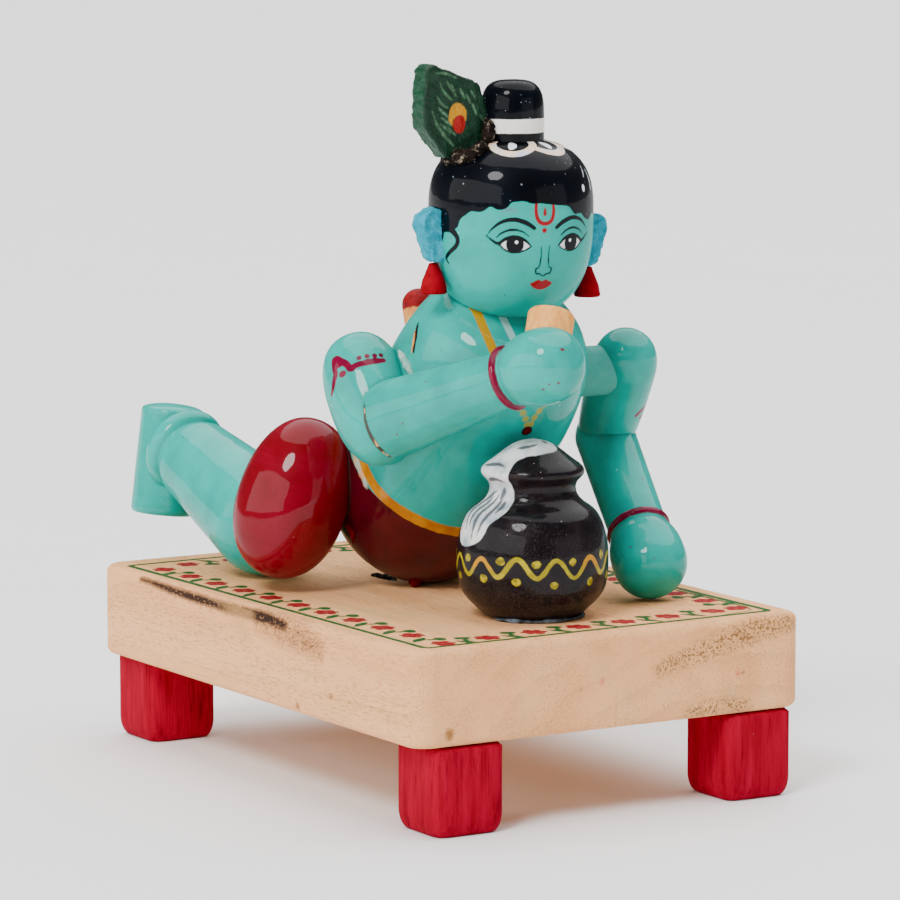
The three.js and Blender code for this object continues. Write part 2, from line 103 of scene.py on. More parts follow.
def resample(points, spacing):
    """The same line with its points an equal distance apart."""
    points = np.array(points, float)
    run = run_along(points)
    count = max(2, math.ceil(run[-1] / spacing) + 1)
    at = np.linspace(0, run[-1], count)
    return np.stack([np.interp(at, run, points[:, i]) for i in range(points.shape[1])], 1)


def through(points, steps=8):
    """A smooth line through all the points."""
    points = np.array(points, float)
    if len(points) < 3:
        return resample(points, FINE)
    ends = np.vstack([2 * points[0] - points[1], points, 2 * points[-1] - points[-2]])
    line = []
    for a, b, c, d in zip(ends, ends[1:], ends[2:], ends[3:]):
        second, third = 2 * a - 5 * b + 4 * c - d, 3 * b - a - 3 * c + d
        line += [0.5 * (2 * b + (c - a) * t + second * t**2 + third * t**3) for t in np.arange(steps) / steps]
    return np.vstack([line, points[-1:]])


def run_along(line):
    """How far along the line each of its points is."""
    return np.concatenate([[0], np.cumsum(np.linalg.norm(np.diff(line, axis=0), axis=1))])


def directions(line):
    """Where the line points to at each of its points."""
    along = np.gradient(line, axis=0)
    return along / np.linalg.norm(along, axis=1)[:, None]


def wobbling_line(points, amount, pitch):
    """A line with small waves across it, as a brush leaves them."""
    line = resample(points, pitch / 5)
    along = directions(line)
    across = np.stack([-along[:, 1], along[:, 0]], 1)
    runs = np.arange(len(line)) * pitch / 5
    wave = np.array([noise.noise(Vector((run / pitch, 3.1, 7.7))) for run in runs])
    return line + across * wave[:, None] * amount


# Profiles of turned pieces, from the foot to the top, as (radius, height)

def barrel(radius, length, power, widest=0.5, steps=120):
    share = (1 - np.cos(np.linspace(0, np.pi, steps + 1))) / 2
    reach = np.where(share < widest, (widest - share) / widest, (share - widest) / (1 - widest))
    return np.stack([radius * np.maximum(0, 1 - reach**power) ** (1 / power), share * length], 1)


def round_end(radius, height, rise, closing=False, steps=16):
    turn = np.linspace(0, np.pi / 2, steps + 1)
    if closing:
        return np.stack([radius * np.cos(turn), height + rise * np.sin(turn)], 1)
    return np.stack([radius * np.sin(turn), height + rise * (1 - np.cos(turn))], 1)


def bead(inner, radius, height, width):
    turn = np.linspace(0, np.pi, 13)
    return np.stack([inner + (radius - inner) * np.sin(turn), height + width * (1 - np.cos(turn)) / 2], 1)


def forearm_profile(elbow, wrist, length, flat_elbow=False):
    hand = barrel(HAND_RADIUS, HAND_LENGTH, HAND_POWER, HAND_WIDEST)
    palm = hand[(hand[:, 0] > wrist) | (hand[:, 1] > HAND_LENGTH / 2)]
    palm = palm + [0, length + RING_WIDTH + RING_GROOVE - palm[0, 1]]
    foot = [(0, 0), (elbow - 0.5, 0), (elbow, 0.5)] if flat_elbow else round_end(elbow, -elbow, elbow)
    shaft = [(wrist + (elbow - wrist) * share, length * (1 - share)) for share in (0.8, 0.6, 0.4, 0.2)]
    return np.vstack([foot, shaft, bead(wrist, RING_RADIUS, length, RING_WIDTH), palm])


class Turned:
    """A turned piece: its profile, and where its axis starts and points. Angles are measured from front."""

    def __init__(self, profile, start, axis, front=(0, -1, 0)):
        self.profile = np.array(profile, float)
        self.start = np.array(start, float)
        self.axis = unit(axis)
        self.front = unit(np.array(front) - np.dot(front, self.axis) * self.axis)
        self.side = np.cross(self.axis, self.front)
        self.girth = self.profile[:, 0].max()

    def radius(self, height):
        return np.interp(height, self.profile[:, 1], self.profile[:, 0])

    def place(self, angle, radius, height):
        across = np.cos(angle)[..., None] * self.front + np.sin(angle)[..., None] * self.side
        return self.start + radius[..., None] * across + height[..., None] * self.axis

    def depth(self, points):
        """How far each point is outside the piece, negative inside."""
        local = points - self.start
        height = local @ self.axis
        radius = np.linalg.norm(local - height[:, None] * self.axis, axis=1)
        ends = np.maximum(self.profile[0, 1] - height, height - self.profile[-1, 1])
        return np.maximum(radius - self.radius(height), ends)

    def on(self, arc, height):
        """The point of the surface at an arc from the front, measured at the girth, and a height."""
        arc, height = np.asarray(arc, float), np.asarray(height, float)
        return self.place(arc / self.girth, self.radius(height), height)


# Distances from places, all negative inside

def joined(*layers):
    return np.minimum.reduce(layers)


def ball(where, middle, radius):
    return np.linalg.norm(where - np.array(middle), axis=1) - radius


def oval(where, middle, half_sizes):
    """Shares of a flat oval's size, not millimetres."""
    return np.hypot(*((where - middle) / half_sizes).T) - 1


def stroke_distance(where, line, widths):
    """A brush stroke along a line of points, as wide as widths along its way."""
    layer = np.full(len(where), FAR)
    run = run_along(line)
    half = np.interp(run / run[-1], np.linspace(0, 1, len(widths)), widths) / 2
    near = np.nonzero(((where > line.min(0) - FAR) & (where < line.max(0) + FAR)).all(1))[0]
    spot = where[near]
    for a, b, wa, wb in zip(line, line[1:], half, half[1:]):
        along = b - a
        share = np.clip((spot - a) @ along / max(along @ along, 1e-9), 0, 1)
        gone = np.linalg.norm(spot - a - share[:, None] * along, axis=1)
        layer[near] = np.minimum(layer[near], gone - (wa + (wb - wa) * share))
    return layer


def outline_distance(where, outline, squeeze):
    """A closed flat outline. Squeeze scales the first coordinate at each place."""
    best = np.full(len(where), np.inf)
    inside = np.zeros(len(where), bool)
    scale = np.stack([squeeze, np.ones(len(where))], 1)
    for a, b in zip(outline, np.roll(outline, -1, 0)):
        along = (b - a) * scale
        away = (where - a) * scale
        share = np.clip((away * along).sum(1) / np.maximum((along * along).sum(1), 1e-9), 0, 1)
        best = np.minimum(best, np.hypot(*(away - share[:, None] * along).T))
        if a[1] != b[1]:
            crosses = (a[1] > where[:, 1]) != (b[1] > where[:, 1])
            edge = a[0] + (where[:, 1] - a[1]) * (b[0] - a[0]) / (b[1] - a[1])
            inside ^= crosses & (where[:, 0] < edge)
    return np.clip(np.where(inside, -best, best), -FAR, FAR)


# Meshes

def store(piece, layer, distance):
    attribute = piece.data.attributes.new(layer, "FLOAT", "POINT")
    attribute.data.foreach_set("value", np.asarray(distance, np.float32))


def make_object(name, points, faces):
    mesh = bpy.data.meshes.new(name)
    mesh.from_pydata(((points + SEAT) * MM).tolist(), [], faces)
    mesh.polygons.foreach_set("use_smooth", [True] * len(mesh.polygons))
    mesh.update()
    piece = bpy.data.objects.new(name, mesh)
    bpy.context.collection.objects.link(piece)
    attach(piece, "root")
    return piece


def ring_faces(rings, sides):
    """Faces of a stack of rings, with one vertex before and one after them that close it."""
    index = 1 + np.arange(rings * sides).reshape(rings, sides)
    here, above = index[:-1], index[1:]
    quads = np.stack([here, np.roll(here, -1, 1), np.roll(above, -1, 1), above], -1)
    faces = quads.reshape(-1, 4).tolist()
    faces += [[0, b, a] for a, b in zip(index[0], np.roll(index[0], -1))]
    faces += [[rings * sides + 1, a, b] for a, b in zip(index[-1], np.roll(index[-1], -1))]
    return faces


class Surface:
    """A fine mesh on a turned piece, with the place of each vertex for its painting."""

    def __init__(self, name, piece, spacing, hidden_by=(), margin=0.9):
        self.piece = piece
        path = resample(piece.profile, spacing)[1:-1]
        sides = 4 * math.ceil(2 * math.pi * piece.girth / spacing / 4)
        angle = np.linspace(0, 2 * np.pi, sides, endpoint=False) - np.pi
        rings = np.repeat(path, sides, 0)
        radius = np.concatenate([[0], rings[:, 0], [0]])
        height = np.concatenate([piece.profile[:1, 1], rings[:, 1], piece.profile[-1:, 1]])
        angle = np.concatenate([[0], np.tile(angle, len(path)), [0]])
        points = piece.place(angle, radius, height)
        faces = ring_faces(len(path), sides)
        if hidden_by:
            buried = joined(*[other.depth(points) for other in hidden_by]) < -margin
            faces = [face for face in faces if not buried[face].all()]
            kept = np.unique(np.concatenate([np.array(face) for face in faces]))
            place = np.zeros(len(points), int)
            place[kept] = np.arange(len(kept))
            faces = [place[face].tolist() for face in faces]
            points, radius, height, angle = points[kept], radius[kept], height[kept], angle[kept]
        self.points, self.height = points, height
        self.arc = angle * piece.girth
        self.squeeze = np.maximum(radius / piece.girth, 0.02)
        self.object = make_object(name, points, faces)
        self.paint(along=height)

    def paint(self, **layers):
        for layer, distance in layers.items():
            store(self.object, layer, distance)

    def far(self):
        """A layer with no paint."""
        return np.full(len(self.points), FAR)

    def seam(self, *others):
        """How near other pieces are, for the painted shade and the dirt and glue where they meet."""
        return joined(self.far(), *[other.depth(self.points) for other in others])

    def stroke(self, places, widths, smooth=True):
        """A brush stroke, as wide as widths along its way."""
        line = through(places) if smooth else resample(places, FINE)
        return stroke_distance(self.points, self.piece.on(line[:, 0], line[:, 1]), widths)

    def strokes(self, strokes):
        return joined(self.far(), *[self.stroke(*stroke) for stroke in strokes])

    def dot(self, arc, height, across, tall=None):
        """An oval dot, whose sizes are from its middle to its edge."""
        tall = tall or across
        reach = np.hypot((self.arc - arc) * self.squeeze / across, (self.height - height) / tall)
        return (reach - 1) * min(across, tall)

    def area(self, places, smooth=False):
        """The inside of a closed outline."""
        outline = through(np.vstack([places, places[:1]]))[:-1] if smooth else places
        return outline_distance(np.stack([self.arc, self.height], 1), outline, self.squeeze)


# Sizes of the figure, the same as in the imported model

TORSO_LENGTH = 69.5
TORSO_RADIUS = 19.7
TORSO_LEAN = math.radians(41.6)
TORSO_TURN = math.radians(1.8)
TORSO_SEAT = (-0.7, 16.6)
HEAD_HEIGHT = 35.7
HEAD_RADIUS = 16.4
HEAD_TURN = math.radians(-7.4)
TOPKNOT_RADIUS = 6.3
TOPKNOT_HEIGHT = 11.4
TOPKNOT_BACK = 0.5
EAR_HEIGHT = 10.6
EAR_REACH = 3.8
EAR_DEPTH = 5
EAR_MIDDLES = {"right": 16.9, "left": 14.9}
EARRING_HEIGHT = 6
EARRING_RADIUS = 2.7
EARRING_TOP = 0.9
FEATHER_THICKNESS = 5
FEATHER_AHEAD = 1
FEATHER_OUTLINE = [
    (0.4, 2), (-1.4, -0.7), (-5.4, -4.1), (-9.3, -3.5), (-14, 2.5), (-14.4, 6),
    (-13.7, 13.8), (-12.3, 14.9), (-8.4, 13.5), (-2, 11.1), (-0.9, 9.5), (0.6, 4.2)]
PEG_RADIUS = 3.35
PEG_LENGTH = 15.5
PEG_AXIS = (-0.05, 0.21, 0.98)
ARM_R_RADIUS = 8.5
ARM_R_LENGTH = 28.2
ARM_R_AXIS = unit((0, -0.58, -0.814))
FOREARM_R_LENGTH = 30.6
FOREARM_R_AXIS = unit((0.388, -0.857, 0.339))
BUTTER_RADIUS = 4.6
BUTTER_LENGTH = 7.4
BUTTER_AXIS = (0.349, 0.283, 0.891)
ARM_L_RADIUS = 6.7
ARM_L_LENGTH = 25.7
ARM_L_AXIS = unit((0.106, 0.542, -0.833))
FOREARM_L_LENGTH = 25.2
FOREARM_L_TURN = math.radians(-13.4)
DOWEL_RADIUS = 5.1
HAND_RADIUS = 7.6
HAND_LENGTH = 17.5
HAND_WIDEST = 0.55
HAND_POWER = 2.3
RING_RADIUS = 6.6
RING_WIDTH = 1.7
RING_GROOVE = 0.4
THIGH_RADIUS = 11.3
THIGH_LENGTH = 33.5
THIGH_LIFT = 2.6
SHIN_RADIUS = 11.4
ANKLE_RADIUS = 8.3
SHIN_LENGTH = 32.5
SHIN_INWARD = 3.7
SHIN_BEHIND = 13.9
ANKLE_BEAD_RADIUS = 9.1
ANKLE_BEAD_WIDTH = 4.5
FOOT_LENGTH = 23.6
FOOT_RADIUS = 6.6
SOLE_RADIUS = 7
POT_SIDEWAYS = -2.4
POT_CLEARANCE = 0.7
POT_HEIGHT = 23
POT_RADIUS = 15.1
POT_BASE = 9.6
POT_NECK = 8.4
POT_RIM = 10.3
POT_LIP = 5.4
POT_HEAP = 6.6
BOARD_CORNER = 5
BOARD_EDGE = 1.6
LEG_SIDE = 16
LEG_FOOT_SIDE = 12.6
LEG_FOOT_ROUND = 4
LEG_SQUARENESS = 7


def rest_on_board(piece, height=GAP):
    slope = math.sqrt(1 - piece.axis[2] ** 2)
    lowest = (piece.start[2] + piece.profile[:, 1] * piece.axis[2] - piece.profile[:, 0] * slope).min()
    piece.start[2] += height - lowest


# Torso and head

torso_up = np.array([
    math.sin(TORSO_TURN) * math.sin(TORSO_LEAN), -math.sin(TORSO_LEAN), math.cos(TORSO_LEAN)])
torso_back = np.array([0, math.cos(TORSO_LEAN), math.sin(TORSO_LEAN)])
torso_across = np.cross(torso_back, torso_up)
torso = Turned(barrel(TORSO_RADIUS, TORSO_LENGTH, 3.7), (*TORSO_SEAT, 0), torso_up, -torso_back)
rest_on_board(torso)


def on_torso(along, across, back):
    """A place given as shares of the torso's length and radius: along its axis, to its left, to its back."""
    sideways = across * torso_across + back * torso_back
    return torso.start + along * TORSO_LENGTH * torso_up + TORSO_RADIUS * sideways


chin = on_torso(0.957, -0.035, 0.072)
face_front = np.array([math.sin(HEAD_TURN), -math.cos(HEAD_TURN), 0])
face_side = np.array([math.cos(HEAD_TURN), math.sin(HEAD_TURN), 0])
head = Turned(barrel(HEAD_RADIUS, HEAD_HEIGHT, 2.65, 0.6), chin, UP, face_front)

knot_dome = barrel(TOPKNOT_RADIUS, TOPKNOT_HEIGHT * 1.4, 3.4)
knot_dome = knot_dome[knot_dome[:, 1] > TOPKNOT_HEIGHT * 0.7] - [0, TOPKNOT_HEIGHT * 0.4]
knot_foot = [(0, -HEAD_HEIGHT * 0.1), (TOPKNOT_RADIUS, -HEAD_HEIGHT * 0.1)]
head_top = chin + UP * HEAD_HEIGHT
topknot = Turned(np.vstack([knot_foot, knot_dome]), head_top - [0, TOPKNOT_BACK, 0], UP, face_front)

peg_ends = [round_end(PEG_RADIUS, 0, 0.5), round_end(PEG_RADIUS, PEG_LENGTH - PEG_RADIUS, PEG_RADIUS, True)]
back_peg = Turned(np.vstack(peg_ends), on_torso(0.649, -0.393, 0.438), PEG_AXIS)

earrings = {}
earring_profile = [
    (0, 0), (EARRING_RADIUS * 0.94, 0), (EARRING_RADIUS, 0.4), (EARRING_RADIUS * 0.86, EARRING_HEIGHT * 0.4),
    (EARRING_TOP * 1.25, EARRING_HEIGHT * 0.9), (EARRING_TOP, EARRING_HEIGHT), (0, EARRING_HEIGHT)]
for side_name, side in SIDES:
    ear_bottom = EAR_MIDDLES[side_name] - EAR_HEIGHT / 2
    place = chin + side * (HEAD_RADIUS + EAR_REACH * 0.1) * face_side
    place = place + UP * (ear_bottom - GAP - EARRING_HEIGHT)
    earrings[side_name] = Turned(earring_profile, place, UP, face_front)

# Arms

arm_r_profile = barrel(ARM_R_RADIUS, ARM_R_LENGTH, 2.5)
upper_arm_r = Turned(arm_r_profile, on_torso(0.666, -1.186, 0.804), ARM_R_AXIS, (-1, 0, 0))
ahead = np.cross(ARM_R_AXIS, (1, 0, 0))
elbow_r = upper_arm_r.start + ARM_R_AXIS * ARM_R_LENGTH * 0.734 + unit(ahead) * 2.7
forearm_r = Turned(forearm_profile(8, 5.6, FOREARM_R_LENGTH, True), elbow_r, FOREARM_R_AXIS, (-1, 0, 0))
palm = elbow_r + FOREARM_R_AXIS * (FOREARM_R_LENGTH + RING_WIDTH + HAND_LENGTH * 0.42)
butter_top = HAND_RADIUS + BUTTER_LENGTH / 2
butter_profile = [
    (0, 0), (BUTTER_RADIUS, 0), (BUTTER_RADIUS, butter_top - 0.8),
    (BUTTER_RADIUS - 0.3, butter_top - 0.25), (BUTTER_RADIUS - 0.8, butter_top), (0, butter_top)]
butter = Turned(butter_profile, palm, BUTTER_AXIS)

arm_l_dome = barrel(ARM_L_RADIUS, ARM_L_LENGTH * 1.4, 2.4, 0.24)
arm_l_dome = arm_l_dome[arm_l_dome[:, 1] < ARM_L_LENGTH]
arm_l_end = [(arm_l_dome[-1, 0] - 0.15, ARM_L_LENGTH), (0, ARM_L_LENGTH)]
upper_arm_l = Turned(np.vstack([arm_l_dome, arm_l_end]), on_torso(0.884, 1.509, -0.044), ARM_L_AXIS)
elbow_l = upper_arm_l.start + ARM_L_AXIS * ARM_L_LENGTH
reach_l = FOREARM_L_LENGTH + RING_WIDTH + HAND_LENGTH / 2
slope_l = math.asin((elbow_l[2] - HAND_LENGTH * 0.47) / reach_l)
forearm_l_axis = (
    math.sin(FOREARM_L_TURN) * math.cos(slope_l),
    -math.cos(FOREARM_L_TURN) * math.cos(slope_l),
    -math.sin(slope_l))
forearm_l = Turned(forearm_profile(6.2, 6, FOREARM_L_LENGTH), elbow_l, forearm_l_axis)
rest_on_board(forearm_l)
dowel_middle = upper_arm_l.start + ARM_L_AXIS * ARM_L_RADIUS * 1.3
dowel_length = dowel_middle[0] - torso.start[0]
dowel_start = (torso.start[0], dowel_middle[1], dowel_middle[2])
dowel_profile = [(0, 0), (DOWEL_RADIUS, 0), (DOWEL_RADIUS, dowel_length), (0, dowel_length)]
dowel = Turned(dowel_profile, dowel_start, (1, 0, 0))

# Legs

ankle_neck = ANKLE_RADIUS - 0.9
shin_profile = np.vstack([
    round_end(SHIN_RADIUS, -SHIN_RADIUS, SHIN_RADIUS),
    [(ANKLE_RADIUS + 0.5, SHIN_LENGTH - 3), (ANKLE_RADIUS, SHIN_LENGTH - 1.5)],
    [(ankle_neck, SHIN_LENGTH - 0.6)],
    bead(ankle_neck, ANKLE_BEAD_RADIUS, SHIN_LENGTH, ANKLE_BEAD_WIDTH),
    [(0, SHIN_LENGTH + ANKLE_BEAD_WIDTH)]])
foot_profile = np.vstack([
    round_end(FOOT_RADIUS, 0, 1.5),
    [(SOLE_RADIUS, FOOT_LENGTH - 1), (SOLE_RADIUS - 0.25, FOOT_LENGTH - 0.25),
     (SOLE_RADIUS - 0.8, FOOT_LENGTH), (0, FOOT_LENGTH)]])
thigh_profile = barrel(THIGH_RADIUS, THIGH_LENGTH, 2.15, 0.46)
thigh_places = {"right": (0.161, -1.398, 0.212), "left": (0.122, 1.2, 0.28)}
shin_axes = {"right": (-0.02, 0.95, 0.315), "left": (0.14, 0.94, 0.315)}
thighs, shins, feet = {}, {}, {}
for side_name, side in SIDES:
    middle = on_torso(*thigh_places[side_name])
    thigh_axis = unit((-side * 0.326, -0.05, 0.944))
    thighs[side_name] = Turned(thigh_profile, middle - thigh_axis * THIGH_LENGTH / 2, thigh_axis)
    rest_on_board(thighs[side_name], THIGH_LIFT)
    start = (middle[0] - side * SHIN_INWARD, torso.start[1] + SHIN_BEHIND, 0)
    shin = shins[side_name] = Turned(shin_profile, start, shin_axes[side_name], (side, 0, 0))
    rest_on_board(shin)
    foot_axis = unit((side * 0.11, 0, -0.994))
    ankle = shin.start + shin.axis * (SHIN_LENGTH + ANKLE_BEAD_WIDTH + FOOT_RADIUS * 0.7)
    feet[side_name] = Turned(foot_profile, ankle - foot_axis * FOOT_LENGTH * 0.3, foot_axis)

# Pot

belly = []
for share in (0.2, 0.36, 0.5, 0.64, 0.79, 0.91, 1):
    swell = math.sin(math.acos(1 - 2 * share))
    end = POT_BASE if share < 0.5 else POT_NECK + 1
    belly.append((end + (POT_RADIUS - end) * swell ** (0.75 if share < 0.5 else 1.05), share * POT_HEIGHT))
neck_height = POT_HEIGHT + 2
rim_height = POT_HEIGHT + POT_LIP
heap = [(0.7, 0.48), (0.52, 0.72), (0.3, 0.92)]
pot_profile = np.vstack([
    [(0, 0), (POT_BASE - 0.4, 0), (POT_BASE + 0.1, 0.15)],
    soften([(POT_BASE + 0.4, 0.5), *belly, (POT_NECK, neck_height), (POT_NECK + 0.3, neck_height + 1.6),
            (POT_RIM - 0.7, rim_height - 0.9), (POT_RIM, rim_height), (POT_RIM - 0.3, rim_height + 1.2),
            *[(POT_RIM * r, rim_height + POT_HEAP * h) for r, h in heap], (0, rim_height + POT_HEAP)])])
up_torso = (rim_height + GAP - torso.start[2] + TORSO_RADIUS * torso_back[2]) / torso_up[2]
torso_front = torso.start[1] + up_torso * torso_up[1] - TORSO_RADIUS * torso_back[1]
pot_place = (torso.start[0] + POT_SIDEWAYS, torso_front - POT_RIM - POT_CLEARANCE, GAP)
pot = Turned(pot_profile, pot_place, UP)


# Pieces that aren't turned: ring stacks of an outline that keeps its number of points

def stack(name, rings, first, last):
    """A closed piece from rings of points, with one more point at each end."""
    points = np.vstack([[first], *rings, [last]])
    return make_object(name, points, ring_faces(len(rings), len(rings[0]))), points


def ring_at(ring, height):
    return np.column_stack([ring, np.full(len(ring), height)])


def rounded_edge(radius, steps):
    """How far in and how far along each point of a quarter round edge is, as (inset, depth)."""
    turns = np.linspace(0, np.pi / 2, steps)
    return [(radius * (1 - math.sin(turn)), radius * (1 - math.cos(turn))) for turn in turns]


# A cut is rough in two sizes, and less so along the thickness
COARSE_CUT = 0.6
FINE_CUT = 2.1
FINE_SHARE = 0.6
CUT_STRETCH = 0.4


def chip(name, outline, thickness, place, turn, rough, spacing, edge=0.5):
    """A cut chip of wood. Its outline lies across, its front face looks ahead, and its cut is rough."""
    outline = resample(np.vstack([outline, outline[:1]]), spacing)[:-1]
    middle = outline.mean(0)
    inward = middle - outline
    inward /= np.linalg.norm(inward, axis=1)[:, None]
    shrinks = np.linspace(0.03, 1, max(4, int(np.ptp(outline[:, 0]) / spacing / 2)))
    face = [middle + (outline + inward * edge - middle) * share for share in shrinks[:-1]]
    steps = rounded_edge(edge, 4)
    rings = [(ring, 0.0) for ring in face]
    rings += [(outline + inward * inset, depth) for inset, depth in steps]
    rings += [(outline, depth) for depth in np.arange(edge + spacing, thickness - edge, spacing)]
    rings += [(outline + inward * depth, thickness - inset) for inset, depth in steps]
    rings += [(ring, thickness) for ring in face[::-1]]
    flat = np.vstack([middle[None], *[ring for ring, _ in rings], middle[None]])
    depth = np.concatenate([[0], *[np.full(len(outline), d) for _, d in rings], [thickness]])
    points = np.stack([flat[:, 0], -depth, flat[:, 1]], 1)
    for i, (x, y, z) in enumerate(points):
        coarse = noise.noise_vector(Vector((x, y * CUT_STRETCH, z)) * COARSE_CUT)
        fine = noise.noise_vector(Vector((x, y, z)) * FINE_CUT)
        points[i] += np.array(coarse + fine * FINE_SHARE) * rough
    cos, sin = math.cos(turn), math.sin(turn)
    placed = np.stack([
        place[0] + points[:, 0] * cos - points[:, 1] * sin,
        place[1] + points[:, 0] * sin + points[:, 1] * cos,
        place[2] + points[:, 2]], 1)
    return make_object(name, placed, ring_faces(len(rings), len(outline))), points


EAR_OUTLINE = [
    (-0.3 * HEAD_RADIUS, 0), (0.3 * EAR_REACH, 0), (0.55 * EAR_REACH, 0.13 * EAR_HEIGHT),
    (0.68 * EAR_REACH, 0.34 * EAR_HEIGHT), (EAR_REACH, 0.6 * EAR_HEIGHT), (EAR_REACH, 0.82 * EAR_HEIGHT),
    (0.7 * EAR_REACH, 0.94 * EAR_HEIGHT), (0.2 * EAR_REACH, EAR_HEIGHT), (-0.3 * HEAD_RADIUS, EAR_HEIGHT)]


def rounded_rectangle(width, length, corner, along_x, along_y, around=14):
    """Points round a rectangle from its back left corner, as many as the counts say whatever its size."""
    x, y = width / 2 - corner, length / 2 - corner
    points = []
    for quarter, middle, end, count in (
            (0, (x, y), (-x, y), along_x), (1, (-x, y), (-x, -y), along_y),
            (2, (-x, -y), (x, -y), along_x), (3, (x, -y), (x, y), along_y)):
        turn = math.pi / 2 * (quarter + np.arange(around + 1) / around)
        bend = corner * np.column_stack([np.cos(turn), np.sin(turn)])
        points += [*(middle + bend[:-1])]
        near, far = middle + bend[-1], end + bend[-1]
        points += [near + (far - near) * step / count for step in range(count)]
    return np.array(points)


def make_board(border=17.0, spacing=0.42):
    counts = (int(BOARD_WIDTH / spacing), int(BOARD_LENGTH / spacing))
    edge = rounded_edge(BOARD_EDGE, 6)
    insets = [(border, 0.0), (6.0, 0.0), *edge]
    insets += [(0.0, height) for height in np.arange(3.0, BOARD_THICKNESS - 2, 1.3)]
    insets += [(depth, BOARD_THICKNESS - inset) for inset, depth in edge]
    insets += [(inset, BOARD_THICKNESS) for inset in np.arange(BOARD_EDGE + spacing, border, spacing)]
    rings = []
    for inset, height in insets:
        corner = max(BOARD_CORNER - inset, 0.8)
        flat = rounded_rectangle(BOARD_WIDTH - 2 * inset, BOARD_LENGTH - 2 * inset, corner, *counts)
        rings.append(ring_at(flat, height - BOARD_THICKNESS))
    return stack("painted_board", rings, (0, 0, -BOARD_THICKNESS), (0, 0, 0))


def make_stool_leg(name, node, spacing=0.9):
    low, high = [np.array(corner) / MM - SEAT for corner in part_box(node)]
    middle = ((low + high) / 2)[:2]
    height = high[2] - low[2]
    taper = LEG_SIDE - LEG_FOOT_SIDE
    foot = [((LEG_FOOT_SIDE + taper * math.sin(turn)) / 2, LEG_FOOT_ROUND * (1 - math.cos(turn)))
            for turn in np.linspace(0, np.pi / 2, 8)]
    profile = [(foot[0][0] - 0.7, 0), (foot[0][0] - 0.2, 0.2), *foot[1:]]
    profile += [(LEG_SIDE / 2, z) for z in np.arange(LEG_FOOT_ROUND + spacing, height - 1, spacing)]
    profile += [(LEG_SIDE / 2, height - 0.6), (LEG_SIDE / 2 - 0.6, height)]
    angle = np.linspace(0, 2 * np.pi, 96, endpoint=False)
    round_x, round_y = np.cos(angle), np.sin(angle)
    square = (np.abs(round_x) ** LEG_SQUARENESS + np.abs(round_y) ** LEG_SQUARENESS) ** (-1 / LEG_SQUARENESS)
    around = square[:, None] * np.column_stack([round_x, round_y])
    rings = [ring_at(middle + radius * around, low[2] + z) for radius, z in profile]
    return stack(name, rings, (*middle, low[2]), (*middle, high[2]))[0]


def dress(piece, node, slot):
    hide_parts(node)
    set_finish(piece, slot)


# The pieces

surfaces = {}


def turned(name, piece, node, slot, spacing, hidden_by=()):
    """Makes a turned piece, without what is buried in others."""
    surface = Surface(name, piece, spacing, hidden_by)
    dress(surface.object, node, slot)
    surfaces[name] = surface
    return surface


torso_skin = turned("painted_torso", torso, "torso", "skin", 0.42, [head, forearm_r, upper_arm_r])
head_skin = turned("painted_head", head, "head", "skin", 0.3, [torso, topknot])
topknot_skin = turned("painted_topknot", topknot, "topknot", "hair", 0.25, [head])
turned("turned_peg", back_peg, "back_peg", "peg", 0.3, [torso])
turned("turned_arm_right", upper_arm_r, "upper_arm_right", "skin", 0.35, [torso, forearm_r])
turned("turned_forearm_right", forearm_r, "forearm_right", "skin", 0.35, [torso])
turned("wooden_butter", butter, "butter_peg", "bare_wood", 0.3, [forearm_r, torso, head])
turned("turned_arm_left", upper_arm_l, "upper_arm_left", "skin", 0.35, [torso])
turned("turned_forearm_left", forearm_l, "forearm_left", "skin", 0.35, [upper_arm_l, torso])
turned("shoulder_dowel", dowel, "shoulder_dowel_left", "glue", 0.4, [upper_arm_l, torso])
for side_name, _ in SIDES:
    thigh, shin, foot = thighs[side_name], shins[side_name], feet[side_name]
    earring = earrings[side_name]
    turned("turned_thigh_" + side_name, thigh, "thigh_" + side_name, "shorts", 0.5, [torso])
    turned("turned_shin_" + side_name, shin, "shin_" + side_name, "skin", 0.5, [thigh, torso])
    turned("turned_foot_" + side_name, foot, "foot_" + side_name, "skin", 0.45, [shin])
    turned("turned_earring_" + side_name, earring, "earring_" + side_name, "earring", 0.25, [head])
pot_skin = turned("painted_pot", pot, "butter_pot", "pot", 0.34)

for side_name, side in SIDES:
    outline = soften(np.array(EAR_OUTLINE) * (side, 1))
    place = chin + side * HEAD_RADIUS * face_side - face_front * EAR_DEPTH / 2
    place = place + UP * (EAR_MIDDLES[side_name] - EAR_HEIGHT / 2)
    ear, _ = chip("carved_ear_" + side_name, outline, EAR_DEPTH, place, HEAD_TURN, 0.35, 0.3)
    dress(ear, "ear_" + side_name, "ear")

feather_place = head_top + [-TOPKNOT_RADIUS, FEATHER_THICKNESS - FEATHER_AHEAD, 0]
feather, feather_flat = chip(
    "carved_feather", np.array(FEATHER_OUTLINE), FEATHER_THICKNESS, feather_place, 0, 0.26, 0.24)
dress(feather, "peacock_feather", "feather")

board, board_points = make_board()
dress(board, "board", "board")
for end in ("front", "back"):
    for side_name, _ in SIDES:
        node = f"stool_leg_{end}_{side_name}"
        dress(make_stool_leg("turned_" + node, node), node, "stool_leg")

# Runs of glue and paint that stand on the pieces

# A direction that no run follows, and the size of the lumps on a run
ASIDE = (0.36, 0.48, 0.8)
LUMPS = 0.9
strands = {}


